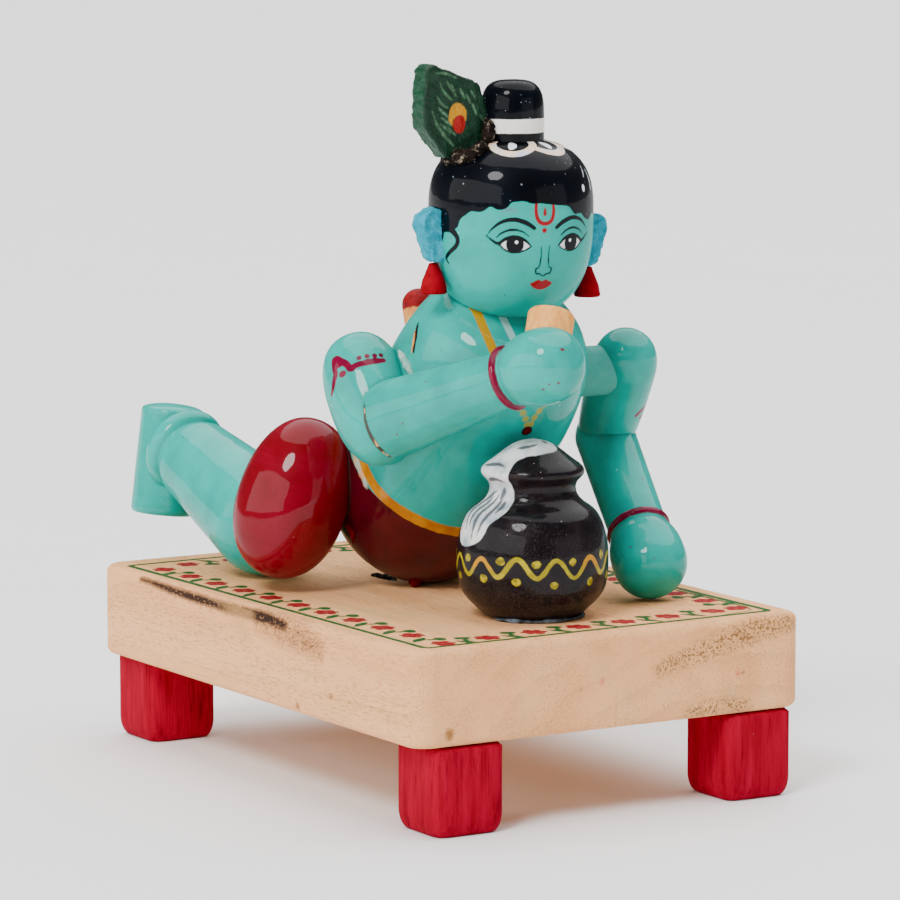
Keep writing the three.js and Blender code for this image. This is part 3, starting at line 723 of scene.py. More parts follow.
def strand(name, made_of, places, thickness, rough=0.3, spacing=0.25, sides=18):
    """A rounded run through places on its carrier, half sunk in it, as thick as told along its way."""
    line = resample(through(places), spacing)
    run = np.linspace(0, 1, len(line))
    radius = np.interp(run, np.linspace(0, 1, len(thickness)), thickness)
    from_end = np.clip((np.minimum(run, 1 - run) * spacing * len(line) + 0.05) / radius, 0, 1)
    radius *= np.sqrt(1 - (1 - from_end)**2)
    along = directions(line)
    across = np.cross(along, ASIDE)
    across /= np.linalg.norm(across, axis=1)[:, None]
    over = np.cross(along, across)
    turn = np.linspace(0, 2 * np.pi, sides, endpoint=False)[:, None]
    rings = []
    for middle, side, up, size in zip(line, across, over, radius):
        ring = middle + (side * np.cos(turn) + up * np.sin(turn)) * size
        lumps = np.array([noise.noise_vector(Vector(spot) * LUMPS) for spot in ring])
        rings.append(ring + lumps * rough * size)
    piece, _ = stack(name, rings, line[0] - along[0] * 0.02, line[-1] + along[-1] * 0.02)
    strands[piece] = made_of


strand("glue_feather", "old_glue", [
    (-11.7, -20.2, 90), (-13.2, -25.2, 89.9), (-13, -28.1, 90.1), (-12.4, -29.8, 90.5), (-11.3, -30.9, 91.1),
    (-9.8, -30.9, 92), (-8.2, -30.3, 93)], (0.6, 1.2, 1.4, 1.6, 1.7, 1.6, 1.0), rough=0.6)
strand("glue_topknot", "old_glue", [(-7.6, -29.9, 93.2), (-6.7, -28.9, 95.4), (-6.6, -28.4, 98)],
       (1.2, 1.3, 0.7), rough=0.6)
strand("glue_shoulder", "clear_glue",
       [(-17.6, -12.7, 50.9), (-18.4, -15.9, 49.6), (-18.7, -18.4, 48), (-18.7, -20.2, 46.7)],
       (0.3, 0.8, 0.9, 0.4))
strand("drip_torso", "drip", [(-18.3, 9.6, 14.3), (-18.3, 6.6, 13.3), (-17.6, 5.8, 11.3), (-16.5, 7.6, 9.3)],
       (0.4, 0.75, 0.6, 0.3))
strand("lump_torso", "drip", [(-5.9, 3.1, 1.6), (-4.9, 2.1, 1.2), (-4, 1.3, 1.2)], (1.0, 1.5, 1.0))
strand("drip_board", "drip", [(-4.1, 6.1, 0), (-2.9, 5.3, 0), (-1.8, 4.6, 0)], (0.5, 0.7, 0.4))
strand("glue_board", "old_glue", [(-5, 19.6, 0), (-4.7, 15.8, 0), (-4.2, 11.2, 0)], (0.5, 1.0, 0.6))
foot_turns = np.radians((-80, -55, -30, -5, 20, 45, 70))
foot_ring = pot.place(foot_turns, np.full(len(foot_turns), POT_BASE + 0.5), np.full(len(foot_turns), 0.1))
strand("glue_pot", "pot_glue", foot_ring, (0.15, 0.5, 0.25, 0.6, 0.2, 0.5, 0.2))

# Painting on the head. Places on a turned surface are (arc from its front, height), and a brush stroke
# is its places with its widths along the way.

HALF_ROUND = math.pi * HEAD_RADIUS
CROWN_TOP = 60
HAIRLINE = [
    (-24.6, 11.6), (-23.2, 15.1), (-22.4, 18.3), (-20.4, 18.6), (-18.5, 18.8), (-17.9, 20), (-17.2, 21.2),
    (-15.3, 22.3), (-13.6, 22), (-11.7, 22.8), (-11.1, 23.2), (-9.1, 22.6), (-7.6, 23.2), (-6.8, 24.4),
    (-1.6, 23.8), (5.1, 23.3), (6.2, 22), (7.7, 21.2), (9.4, 21.6), (10.6, 20.1), (12.6, 20),
    (14.6, 21.2), (16.8, 20.6), (18.4, 18.8), (20.4, 18.4), (22.4, 18.2), (23.2, 15.1), (24.6, 11.6)]
NAPE = [(30, 9.8), (38, 9.0), (46, 9.4), (HALF_ROUND + 2, 9.2)]
SIDE_CURL = (
    [(22.6, 18.5), (20.3, 18.4), (18.6, 16.9), (18.9, 15.3), (21.1, 13.7), (22.4, 12.5), (21.7, 11.4)],
    (1.6, 1.5, 1.2, 1.0, 0.9, 0.75, 0.3))
EYE_ACROSS = 6.3
EYE_HEIGHT = 16.0


def at_eye(*places):
    """Places given from the middle of the left eye."""
    return [(EYE_ACROSS + u, EYE_HEIGHT + v) for u, v in places]


UPPER_LID = at_eye((-3.3, -0.55), (-1.9, 0.75), (0, 1.35), (1.8, 0.95), (3.3, 0.05))
LOWER_LID = at_eye((3.3, 0.05), (1.7, -1.35), (-0.2, -1.75), (-2.1, -1.3), (-3.3, -0.55))
FACE_LINES = [
    (UPPER_LID + at_eye((4.6, 0.75), (5.7, 1.55)), (0.35, 0.55, 0.7, 0.7, 0.62, 0.5, 0.28)),
    (LOWER_LID, (0.42, 0.4, 0.35, 0.35, 0.35)),
    (at_eye((-2.9, 1.35), (-1.4, 2.4), (0.6, 2.75), (2.6, 2.1), (3.7, 1.1)), (0.25, 0.4, 0.5, 0.4, 0.2)),
    (at_eye((-3.9, 3.0), (-2.2, 4.1), (0.2, 4.75), (2.6, 4.25), (4.5, 2.9), (5.3, 1.9)),
     (0.75, 0.95, 0.9, 0.75, 0.5, 0.2)),
    ([(0.85, 15.4), (0.8, 13.4), (1.0, 11.8), (1.15, 11.2)], (0.22, 0.3, 0.34, 0.3))]
IRIS = (at_eye((-0.05, -0.15)), 1.75)
# A painted highlight in each eye.
EYE_GLINT = (at_eye((-0.35, 0.3)), 0.36)
NOSE_TIP = ([(-1.15, 11.2), (-1.75, 10.9), (-1.6, 10.0), (-0.85, 9.9), (0, 9.45), (0.85, 9.9), (1.6, 10.0),
             (1.75, 10.9), (1.15, 11.2)], (0.3, 0.36, 0.36, 0.3, 0.36, 0.36, 0.3))
FOREHEAD_MARK = [
    ([(-2, 23.9), (-2.05, 22), (-1.5, 20.4), (-0.2, 19.8), (1.2, 20.4), (1.7, 22), (1.6, 23.7)],
     (0.6, 0.72, 0.8, 0.8, 0.8, 0.72, 0.6)),
    ([(-0.2, 22.9), (-0.2, 21.7)], (0.35, 0.75))]
FOREHEAD_DOT = (-0.3, 18.5, 0.52)
UPPER_LIP = [(-2.9, 7.9), (-1.8, 8.35), (-0.8, 8.75), (0, 8.4), (0.8, 8.75), (1.8, 8.35), (2.9, 7.9)]
LOWER_LIP = [(2.9, 7.9), (1.6, 7.0), (0, 6.6), (-1.6, 7.0), (-2.9, 7.9)]
SMUDGE = ([(-8.6, 22.4), (-7.4, 22.7), (-6.2, 22.5)], (0.5, 1.0, 0.5))
# Painted highlights on the hair.
HAIR_GLINTS = [
    ([(12.1, 28.2), (12.9, 29.4), (13.2, 30.4)], (0.2, 0.35, 0.15)),
    ([(14.6, 25.6), (15.2, 27.8), (15, 29.6)], (0.3, 0.5, 0.25))]
HAIR_GLINT_DOT = (10.8, 26.2, 0.55, 0.75)
SCALLOPS = 7
SCALLOP_FIRST = math.radians(-24.5)
SCALLOP_ORDER = (3, 4, 2, 5, 6, 1, 0)
SCALLOP_OUT = 7.2
SCALLOP_RADIUS = 4.7
SCALLOP_BAND = 1.5
DROP_OUT = 1.2
DROP_WIDTH, DROP_LENGTH, DROP_FLARE = 0.85, 1.55, 0.12


def mirrored(side, places, *widths):
    """Places, with their widths if they have any, on the left half of the face or on the right one."""
    return [(side * arc, height) for arc, height in places], *widths


def lens(upper, lower):
    """The closed outline of an eye or of lips."""
    return np.vstack([through(upper), through(lower)[1:-1]])


def scallops(surface):
    """The cream rings round the topknot, each over the ones before it, and the drop in each."""
    cream, drops = surface.far(), surface.far()
    local = surface.points - topknot.start
    across, front = local @ face_side, local @ face_front
    on_top = surface.height > HEAD_HEIGHT * 0.8
    for i in SCALLOP_ORDER:
        turn = SCALLOP_FIRST + 2 * math.pi * i / SCALLOPS
        sin, cos = math.sin(turn), math.cos(turn)
        x, y = across - SCALLOP_OUT * sin, front - SCALLOP_OUT * cos
        reach = np.hypot(x, y)
        covered = on_top & (reach < SCALLOP_RADIUS)
        outward = x * sin + y * cos - DROP_OUT
        beside = x * cos - y * sin + DROP_FLARE * outward**2
        drop = np.hypot(beside / DROP_WIDTH, outward / DROP_LENGTH) - 1
        ring = np.abs(reach - SCALLOP_RADIUS + SCALLOP_BAND / 2) - SCALLOP_BAND / 2
        cream = np.where(covered, ring, np.where(on_top, np.minimum(cream, reach - SCALLOP_RADIUS), cream))
        drops = np.where(covered, drop * DROP_WIDTH, drops)
    return cream, drops


def paint_head(surface):
    back = [(-arc, height) for arc, height in reversed(NAPE)]
    line = np.vstack([soften(back), wobbling_line(soften(HAIRLINE), 0.35, 2.2), soften(NAPE)])
    over = [(HALF_ROUND + 2, CROWN_TOP), (-HALF_ROUND - 2, CROWN_TOP)]
    cream, drops = scallops(surface)
    hair, white = [surface.area(np.vstack([line, over]))], []
    ink = [surface.stroke(*NOSE_TIP)]
    # The white drops in the scallops, and painted highlights on the hair and in the eyes.
    drops_and_glints = [drops, surface.strokes(HAIR_GLINTS), surface.dot(*HAIR_GLINT_DOT)]
    for side in (-1, 1):
        hair.append(surface.stroke(*mirrored(side, *SIDE_CURL)))
        white.append(surface.area(lens(*mirrored(side, UPPER_LID), *mirrored(side, LOWER_LID))))
        ink.append(surface.strokes([mirrored(side, *line) for line in FACE_LINES]))
        for layers, dot in ((ink, IRIS), (drops_and_glints, EYE_GLINT)):
            (middle,), radius = mirrored(side, *dot)
            layers.append(surface.dot(*middle, radius))
    lips = surface.area(lens(UPPER_LIP, LOWER_LIP))
    red = [surface.strokes(FOREHEAD_MARK), surface.dot(*FOREHEAD_DOT), lips]
    surface.paint(hair=joined(*hair), white=joined(*white), ink=joined(*ink), drops_and_glints=joined(*drops_and_glints),
                  red=joined(*red), cream=cream, smudge=surface.stroke(*SMUDGE), seam=surface.seam(torso))


paint_head(head_skin)

BAND_HEIGHT = 2.5
BAND_HALF = 1.4
above_head = topknot_skin.points[:, 2] - head_top[2]
topknot_skin.paint(band=np.abs(above_head - BAND_HEIGHT) - BAND_HALF)

# Painting on the torso. The necklaces are given as places of the figure that lie close to the surface.

BELT = 25.1
BELT_HALF = 1.3
BELT_RISE = 2.6
BELT_RISE_ARC = -34
BELT_RISE_WIDTH = 7
SHORTS_TOP = 24.0
TORSO_STROKES = {
    "bare": [([(-37.5, 31.5), (-35, 28), (-32, 25.6), (-29.5, 24.6)], (1.5, 4.4, 3.6, 0.8)),
             ([(-36.4, 26), (-32, 25.8), (-28.6, 24.6), (-26.2, 23.6)], (2.4, 3.0, 2.4, 0.6))],
    "drips": [([(-30.5, 10.3), (-25.4, 7.3), (-24.6, 6.3)], (1.2, 2.0, 1.0))],
    "slit": [([(-39.3, 59.2), (-36.5, 57.9), (-33.6, 56.2)], (0.5, 1.5, 0.7))],
    "slit_light": [([(-38.2, 58.1), (-35.8, 57.0), (-33.9, 55.6)], (0.3, 0.8, 0.4))]}
NECKLACES = {
    "yellow": ([(-9.4, -25.3, 61.6), (-9.1, -28.3, 59.6), (-9.3, -31.3, 56.7), (-9.1, -33.9, 53.4),
                (-8.2, -36.3, 49.2), (-6.6, -37.8, 45.4)], (1.8, 1.9, 1.8, 1.8, 1.7, 1.5)),
    "thread": ([(-4.3, -28, 60.5), (-4.4, -31.2, 57.9), (-4.4, -34.1, 54.9), (-4.1, -36.4, 51.4)],
               (1.5, 1.7, 1.6, 1.2))}
PENDANT = (-0.9, -34.1, 36)
PENDANT_RADIUS = 1.15
PENDANT_RED_RADIUS = 0.85
GARLAND = [
    [(-7.2, -36.9, 46.5), (-6.5, -36.6, 44), (-5.5, -36.3, 42.2), (-3, -36, 39.9), (-1.2, -34.7, 37),
     PENDANT],
    [(4.6, -37.2, 49), (3.6, -37.6, 46.6), (2.7, -37.7, 44.4), (1.9, -37.3, 42.3), (-0.1, -36, 39.2),
     (-0.8, -34.1, 36)]]
BEAD_PITCH = 1.75
BEAD_RADIUS = 0.72


def paint_torso(surface):
    rise = BELT_RISE * np.exp(-((surface.arc - BELT_RISE_ARC) / BELT_RISE_WIDTH)**2)
    surface.paint(belt=np.abs(surface.height - BELT - rise) - BELT_HALF, shorts=surface.height - SHORTS_TOP)
    surface.paint(**{layer: surface.strokes(strokes) for layer, strokes in TORSO_STROKES.items()})
    for layer, (places, widths) in NECKLACES.items():
        surface.paint(**{layer: stroke_distance(surface.points, through(places), widths)})
    places = [place for string in GARLAND for place in resample(through(string), BEAD_PITCH)[:-1]]
    beads = joined(surface.far(), *[ball(surface.points, place, BEAD_RADIUS) for place in places])
    surface.paint(beads=beads, pendant=ball(surface.points, PENDANT, PENDANT_RADIUS),
                  pendant_red=ball(surface.points, PENDANT, PENDANT_RED_RADIUS),
                  seam=surface.seam(head, upper_arm_r, *thighs.values()))


paint_torso(torso_skin)

# Painting on the arms and legs

ARMLET = [
    ([(-13.9, 10), (-11.9, 10), (-9.7, 9.9), (-7.7, 9.8), (-6.6, 10.1), (-6, 8.8), (-5.1, 7.6), (-4, 6.3),
      (-3.1, 6.3)], (0.9, 1.35, 1.4, 1.3, 1.3, 1.4, 1.5, 1.3, 1.1)),
    ([(-3.1, 6.3), (-2.9, 7.9), (-2.9, 9.4), (-2, 10.6), (-1.1, 11.7), (0.1, 12.6)],
     (1.2, 1.3, 1.2, 1.2, 1.0, 0.6))]
ARMLET_BLOT = [(-3, 5.6), (-5.2, 6.8), (-5.1, 8.4), (-3.8, 8.6), (-2.6, 7.7)]
ARMLET_DOTS = [
    (-4.5, 10.3, 0.85, 0.7), (-8.9, 8.4, 0.55), (-10.6, 8.5, 0.55), (-12.2, 8.7, 0.55), (-13.7, 8.8, 0.55)]
LEFT_ARM_MARKS = [
    ([(-4.8, 15.5), (-2.8, 15.6), (-1.4, 16.3)], (1.0, 1.5, 1.2)), ([(-4.8, 17.9), (-3.2, 17.8)], (1.2, 1.0))]
ELBOW_CHIPS = {
    "right": [([(-3.4, 1.0), (0, 0.9), (3.3, 0.8), (7.4, 0.9), (10.4, 0.8)], (0.05, 0.25, 0.8, 0.6, 0.3))],
    "left": []}
HAND_SPECKS = {
    "right": [(-2.5, 47), (6.3, 43.4), (7.5, 44.8), (6.7, 41.9), (5.5, 6.2), (-4.3, 15.5), (3.6, 8.6)],
    "left": [(0.3, 17.3), (8.8, 35.1), (5, 39)]}
SPECK = (0.3, 0.22)
CUT_HALF = 0.15


def paint_limb(limb, meets, red=None, butt=None):
    """Paints on a limb its red marks, the chipped edge of its end and the seams where it meets others."""
    red, butt = [limb.far() if layer is None else layer for layer in (red, butt)]
    limb.paint(red=red, butt=butt, seam=limb.seam(*meets))


arm = surfaces["turned_arm_right"]
armlet = [arm.strokes(ARMLET), arm.area(ARMLET_BLOT, smooth=True), *[arm.dot(*dot) for dot in ARMLET_DOTS]]
paint_limb(arm, [torso, forearm_r], joined(*armlet))
arm = surfaces["turned_arm_left"]
paint_limb(arm, [torso], arm.strokes(LEFT_ARM_MARKS), np.abs(arm.height - ARM_L_LENGTH) - CUT_HALF)
for side_name, length, meets in (("right", FOREARM_R_LENGTH, torso), ("left", FOREARM_L_LENGTH, upper_arm_l)):
    fore = surfaces["turned_forearm_" + side_name]
    wrist_ring = np.abs(fore.height - length - RING_WIDTH / 2) - RING_WIDTH / 2
    specks = [fore.dot(*speck, *SPECK) for speck in HAND_SPECKS[side_name]]
    paint_limb(fore, [meets], joined(wrist_ring, *specks), fore.strokes(ELBOW_CHIPS[side_name]))
    paint_limb(surfaces["turned_shin_" + side_name], [thighs[side_name]])
    paint_limb(surfaces["turned_foot_" + side_name], [shins[side_name]])

# Painting on the pot

WAVES = 12
WAVE_MIDDLE = 11.25
WAVE_RISE = 1.85
WAVE_CREST = -19.5
WAVE_WIDTH = 0.95
WAVE_WOBBLE = 0.7
WOBBLES = 2.2
DOT_HEIGHTS = (12.9, 8.9)
ORANGE_SPOTS = [(-19.6, 12.6, 4.0, 2.4), (5.0, 12.4, 3.2, 1.6)]
BUTTER_EDGE = [
    (17.5, 34.6), (13.1, 33.6), (4.2, 32.9), (-4.9, 32.6), (-15, 32), (-16, 29.4), (-15.9, 27.3),
    (-15.2, 25.5), (-14.8, 23), (-16.3, 21.1), (-19.1, 19.3), (-19.5, 17), (-21.8, 15.2), (-25.7, 14.3),
    (-28.4, 15.2),
    (-30.4, 17.4), (-31.5, 20.4), (-31, 23.5), (-32.4, 26), (-33.4, 28.4), (-34.5, 31.2), (-36, 33)]
BUTTER_TOP = [(-42, 33.8), (-47.5, 34.2), (-47.5, 45), (47.5, 45), (47.5, 34.5), (30, 34.9)]
BUTTER_STROKES = [
    [(-23.1, 25.3), (-26.5, 24), (-29.4, 22.1), (-28.4, 20.4), (-26.2, 17.6)],
    [(-21.6, 24.6), (-23.3, 21.7), (-23.6, 19.4), (-23.2, 16)],
    [(-19.4, 24.3), (-20, 21.9), (-21.1, 19.7), (-21.7, 17.1)],
    [(-18.8, 26.1), (-20.3, 23.7)], [(-24.6, 24), (-26, 21.4), (-25.6, 18.6)], [(-17.6, 23.6), (-18.6, 21.4)],
    [(-19.1, 33.5), (-11.4, 33.9), (-4.4, 34.3)], [(-30, 29.9), (-22, 30.6), (-18, 30.2)],
    [(5.6, 34.3), (10, 34.7)], [(-26, 27.2), (-21, 27.8), (-17.6, 27.2)]]
BUTTER_STROKE_WIDTHS = (0.35, 0.95, 1.05, 0.8, 0.3)


def paint_pot(surface):
    girth = 2 * math.pi * POT_RADIUS
    pitch = girth / WAVES
    arcs = np.arange(-girth / 2, girth / 2, 0.35)
    turns = arcs / POT_RADIUS
    around = [Vector((math.cos(turn) * WOBBLES, math.sin(turn) * WOBBLES, 5)) for turn in turns]
    wobble = np.array([noise.noise(place) for place in around])
    swing = np.cos(2 * np.pi * (arcs - WAVE_CREST) / pitch)
    wave = np.column_stack([arcs, WAVE_MIDDLE + WAVE_RISE * swing + wobble * WAVE_WOBBLE])
    wave = np.vstack([wave, wave[:1] + [girth, 0]])
    dots = []
    for i in range(WAVES):
        shift = noise.noise_vector(Vector((i * 1.7, 2.2, 9.1)))
        heights = (DOT_HEIGHTS[0] + shift.x * 1.2, DOT_HEIGHTS[1] + shift.y * 1.6)
        for arc, height in zip((WAVE_CREST + (i + 0.5) * pitch, WAVE_CREST + i * pitch), heights):
            arc = (arc + shift.z + girth / 2) % girth - girth / 2
            dots.append(surface.dot(arc, height, 0.95 + shift.y * 0.25, 0.85 + shift.x * 0.2))
    surface.paint(
        wave=surface.stroke(wave, WAVE_WIDTH + 0.5 * wobble[::6], smooth=False),
        dots=joined(surface.far(), *dots),
        orange=joined(surface.far(), *[surface.dot(*spot) for spot in ORANGE_SPOTS]),
        butter=surface.area(np.vstack([soften(BUTTER_EDGE), BUTTER_TOP])),
        strokes=surface.strokes([(line, BUTTER_STROKE_WIDTHS) for line in BUTTER_STROKES]))


paint_pot(pot_skin)

# Painting on the feather, on its front alone. Places are the figure's, across and up.

FEATHER_STROKES = [
    [(-17, 105), (-16, 103), (-14.4, 101.6)], [(-14.4, 104.6), (-13.5, 102.4)],
    [(-12.6, 103.9), (-11.4, 101.9)], [(-11, 102.5), (-10.1, 100.9)],
    [(-17.6, 102.3), (-16.8, 101), (-15.4, 100.1)], [(-17.4, 100.2), (-15.1, 98.1)],
    [(-18.8, 99.4), (-18, 97.5), (-17, 95.8), (-15, 93.6), (-13.1, 92)], [(-16.7, 98.2), (-14, 96.3)],
    [(-15.4, 96.2), (-13.5, 94.7)], [(-9.6, 100.7), (-8.7, 98.5)], [(-7.8, 98.6), (-7.1, 97.4)],
    [(-12.6, 92.3), (-11.5, 91.2), (-10.1, 90.3)], [(-17.9, 107), (-15.8, 106.8), (-13.3, 105.9)],
    [(-15.5, 105.3), (-14.1, 103.4)], [(-16.9, 96.9), (-14.6, 95.2)], [(-9.9, 103.2), (-8.9, 101.6)]]
FEATHER_WIDTHS = (0.15, 0.5, 0.2)
YELLOW_EYE = ((-13.0, 98.5), (2.1, 2.4))
RED_EYE = ((-12.6, 96.8), (1.45, 1.8))


def paint_feather(piece, flat):
    seen = flat[:, 1] < -FEATHER_THICKNESS + 1.2
    places = flat[:, [0, 2]] + [feather_place[0], feather_place[2]]
    pale = joined(*[stroke_distance(places, through(line), FEATHER_WIDTHS) for line in FEATHER_STROKES])
    for layer, distance in (
            ("pale", pale), ("yellow", oval(places, *YELLOW_EYE) * 2), ("red", oval(places, *RED_EYE) * 1.5)):
        store(piece, layer, np.where(seen, distance, FAR))
    store(piece, "sides", -(flat[:, 1] + FEATHER_THICKNESS))


paint_feather(feather, feather_flat)

# Printing and stains on the board, whose places are from the middle of its top. A sprig beside each
# flower is given along its row and inwards.

LINE_CORNERS = np.array([(-40.5, -60.7), (40.3, -59.4), (39.6, 58.6), (-42.0, 57.4)])
LINE_WIDTHS = (1.4, 1.7, 1.3, 1.6, 1.4, 1.7, 1.3)
SECOND_LINE = ([(38.4, -14), (38.7, -54), (37.4, -57.2), (30, -58.6)], (0.4, 0.9, 0.8, 0.4))
FLOWER_ROWS = [
    ((-37.9, 48.9), (-34.9, -57.8), 11), ((-24.2, -56.7), (30.1, -54), 6),
    ((36, -53.4), (35.4, 53.2), 11), ((24.8, 54.4), (-30.6, 52.4), 6)]
ROWS_WITH_FIRST_SPRIG = (1, 3)
MOTIF_PITCH = 10.7
FLOWER_SHIFT = 0.4
FLOWER_RADIUS = 1.15
PETALS = 6
PETAL_OUT = 1.75
PETAL_RADIUS = 0.95
PINK_RADIUS = 0.35
SPRIG = [
    ("green", [(6.5, -3.7), (5.2, -1.8), (3.8, 0.2)], (0.8, 2.2, 0.9)),
    ("green", [(5.2, -1.8), (5.9, 0.4), (6.3, 1.8)], (0.9, 0.95, 1.0)),
    ("olive", [(7.2, 2.4), (6.6, 0.2), (7.6, -1.2)], (0.3, 0.5, 0.25))]
BUDS = [((6.0, 2.4), 1.25), ((7.1, 2.1), 1.05)]
RIGHT, FRONT = -BOARD_WIDTH / 2, -BOARD_LENGTH / 2
STAINS = {
    "streak": [([(RIGHT, 46, -0.9), (RIGHT, 42.1, -1.0), (RIGHT, 30.8, -1.5), (RIGHT, 10.8, -1.8),
                 (RIGHT, -7, -1.5), (RIGHT, -15, -2.0)], (0.5, 1.1, 1.4, 1.7, 2.1, 1.4))],
    "patch": [([(RIGHT, -4, -2.2), (RIGHT, -14, -2.8), (RIGHT, -22, -3.4), (RIGHT, -28, -4.8)],
               (1.5, 3.4, 4.0, 1.6))],
    "pores": [([(10.5, FRONT, -8.3), (20, FRONT, -5.5), (34, FRONT, -2.2), (42, FRONT, -1.6)],
               (1.2, 3.2, 4.6, 2.2)),
              ([(18, FRONT, -17.8), (24, FRONT, -17.0), (31, FRONT, -17.6)], (1.6, 2.2, 1.8))]}
SPOTS = {
    "spots": [((RIGHT, -64.2, -8.5), 0.9), ((RIGHT, -51.5, -7.6), 0.5), ((29, FRONT, -10.4), 0.7),
              ((-3, FRONT, -9.2), 0.5)],
    "knots": [((RIGHT, -19.7, -17.2), 0.8), ((RIGHT, -33, -13.2), 0.6), ((-37.7, FRONT, -16.4), 1.1),
              ((30.2, FRONT, -10.7), 0.35), ((-8, FRONT, -10.4), 0.4)]}


def frame_line():
    """The green line round the board, which turns each corner in a short curve."""
    line = []
    for before, corner, after in zip(np.roll(LINE_CORNERS, 1, 0), LINE_CORNERS, np.roll(LINE_CORNERS, -1, 0)):
        for other, steps in ((before, (3.2, 0.8)), (after, (0.8, 3.2))):
            line += [corner + unit(other - corner) * step for step in steps]
    return np.array(line + line[:1])


def print_border(flat):
    """The layers of the printed border at flat places of the board's top."""
    layers = dict.fromkeys(("green", "red", "pink", "olive"), np.full(len(flat), FAR))

    def add(layer, distance):
        layers[layer] = np.minimum(layers[layer], distance)

    def disc(middle):
        return np.hypot(*(flat - middle).T)

    add("green", stroke_distance(flat, frame_line(), LINE_WIDTHS))
    add("green", stroke_distance(flat, resample(SECOND_LINE[0], 2), SECOND_LINE[1]))
    for row, (start, end, count) in enumerate(FLOWER_ROWS):
        start, end = np.array(start), np.array(end)
        along = unit(end - start)
        inward = np.array([-along[1], along[0]])
        for i in range(count):
            spot = start + (end - start) * i / (count - 1)
            chance = noise.noise_vector(Vector((spot[0] * 0.7, spot[1] * 0.7, 1.3)))
            spot = spot + np.array((chance.x, chance.y)) * FLOWER_SHIFT
            add("red", disc(spot) - FLOWER_RADIUS)
            for petal in range(PETALS):
                turn = petal * math.pi / 3 + chance.z * 0.6 + math.atan2(along[1], along[0])
                tip = spot + np.array((math.cos(turn), math.sin(turn))) * PETAL_OUT
                add("red", disc(tip) - PETAL_RADIUS - 0.12 * math.cos(petal * 2.3 + row))
            add("pink", disc(spot) - PINK_RADIUS - 0.3 * chance.x)
            feet = [spot + along * 0] * (i < count - 1)
            feet += [spot - along * MOTIF_PITCH] * (i == 0 and row in ROWS_WITH_FIRST_SPRIG)
            for foot in feet:
                for layer, places, widths in SPRIG:
                    line = through([foot + along * a + inward * b for a, b in places])
                    add(layer, stroke_distance(flat, line, widths))
                for (a, b), radius in BUDS:
                    add("green", disc(foot + along * a + inward * b) - radius)
    return layers


def paint_board(piece, points):
    far = np.full(len(points), FAR)
    top = points[:, 2] > -0.6
    for layer, distance in print_border(points[top][:, :2]).items():
        values = far.copy()
        values[top] = distance
        store(piece, layer, values)
    for layer, strokes in STAINS.items():
        distances = [stroke_distance(points, np.array(line), widths) for line, widths in strokes]
        store(piece, layer, joined(*distances))
    for layer, spots in SPOTS.items():
        store(piece, layer, joined(far, *[ball(points, *spot) for spot in spots]))


paint_board(board, board_points)

# Materials. Colours are from 0 to 255, and deeper than in the photograph because the view pales them.

def shown(colour):
    """A colour as the shader takes it, whether it is a socket or three numbers."""
    if isinstance(colour, tuple):
        return (*[((value / 255 + 0.055) / 1.055) ** 2.4 for value in colour], 1.0)
    return colour


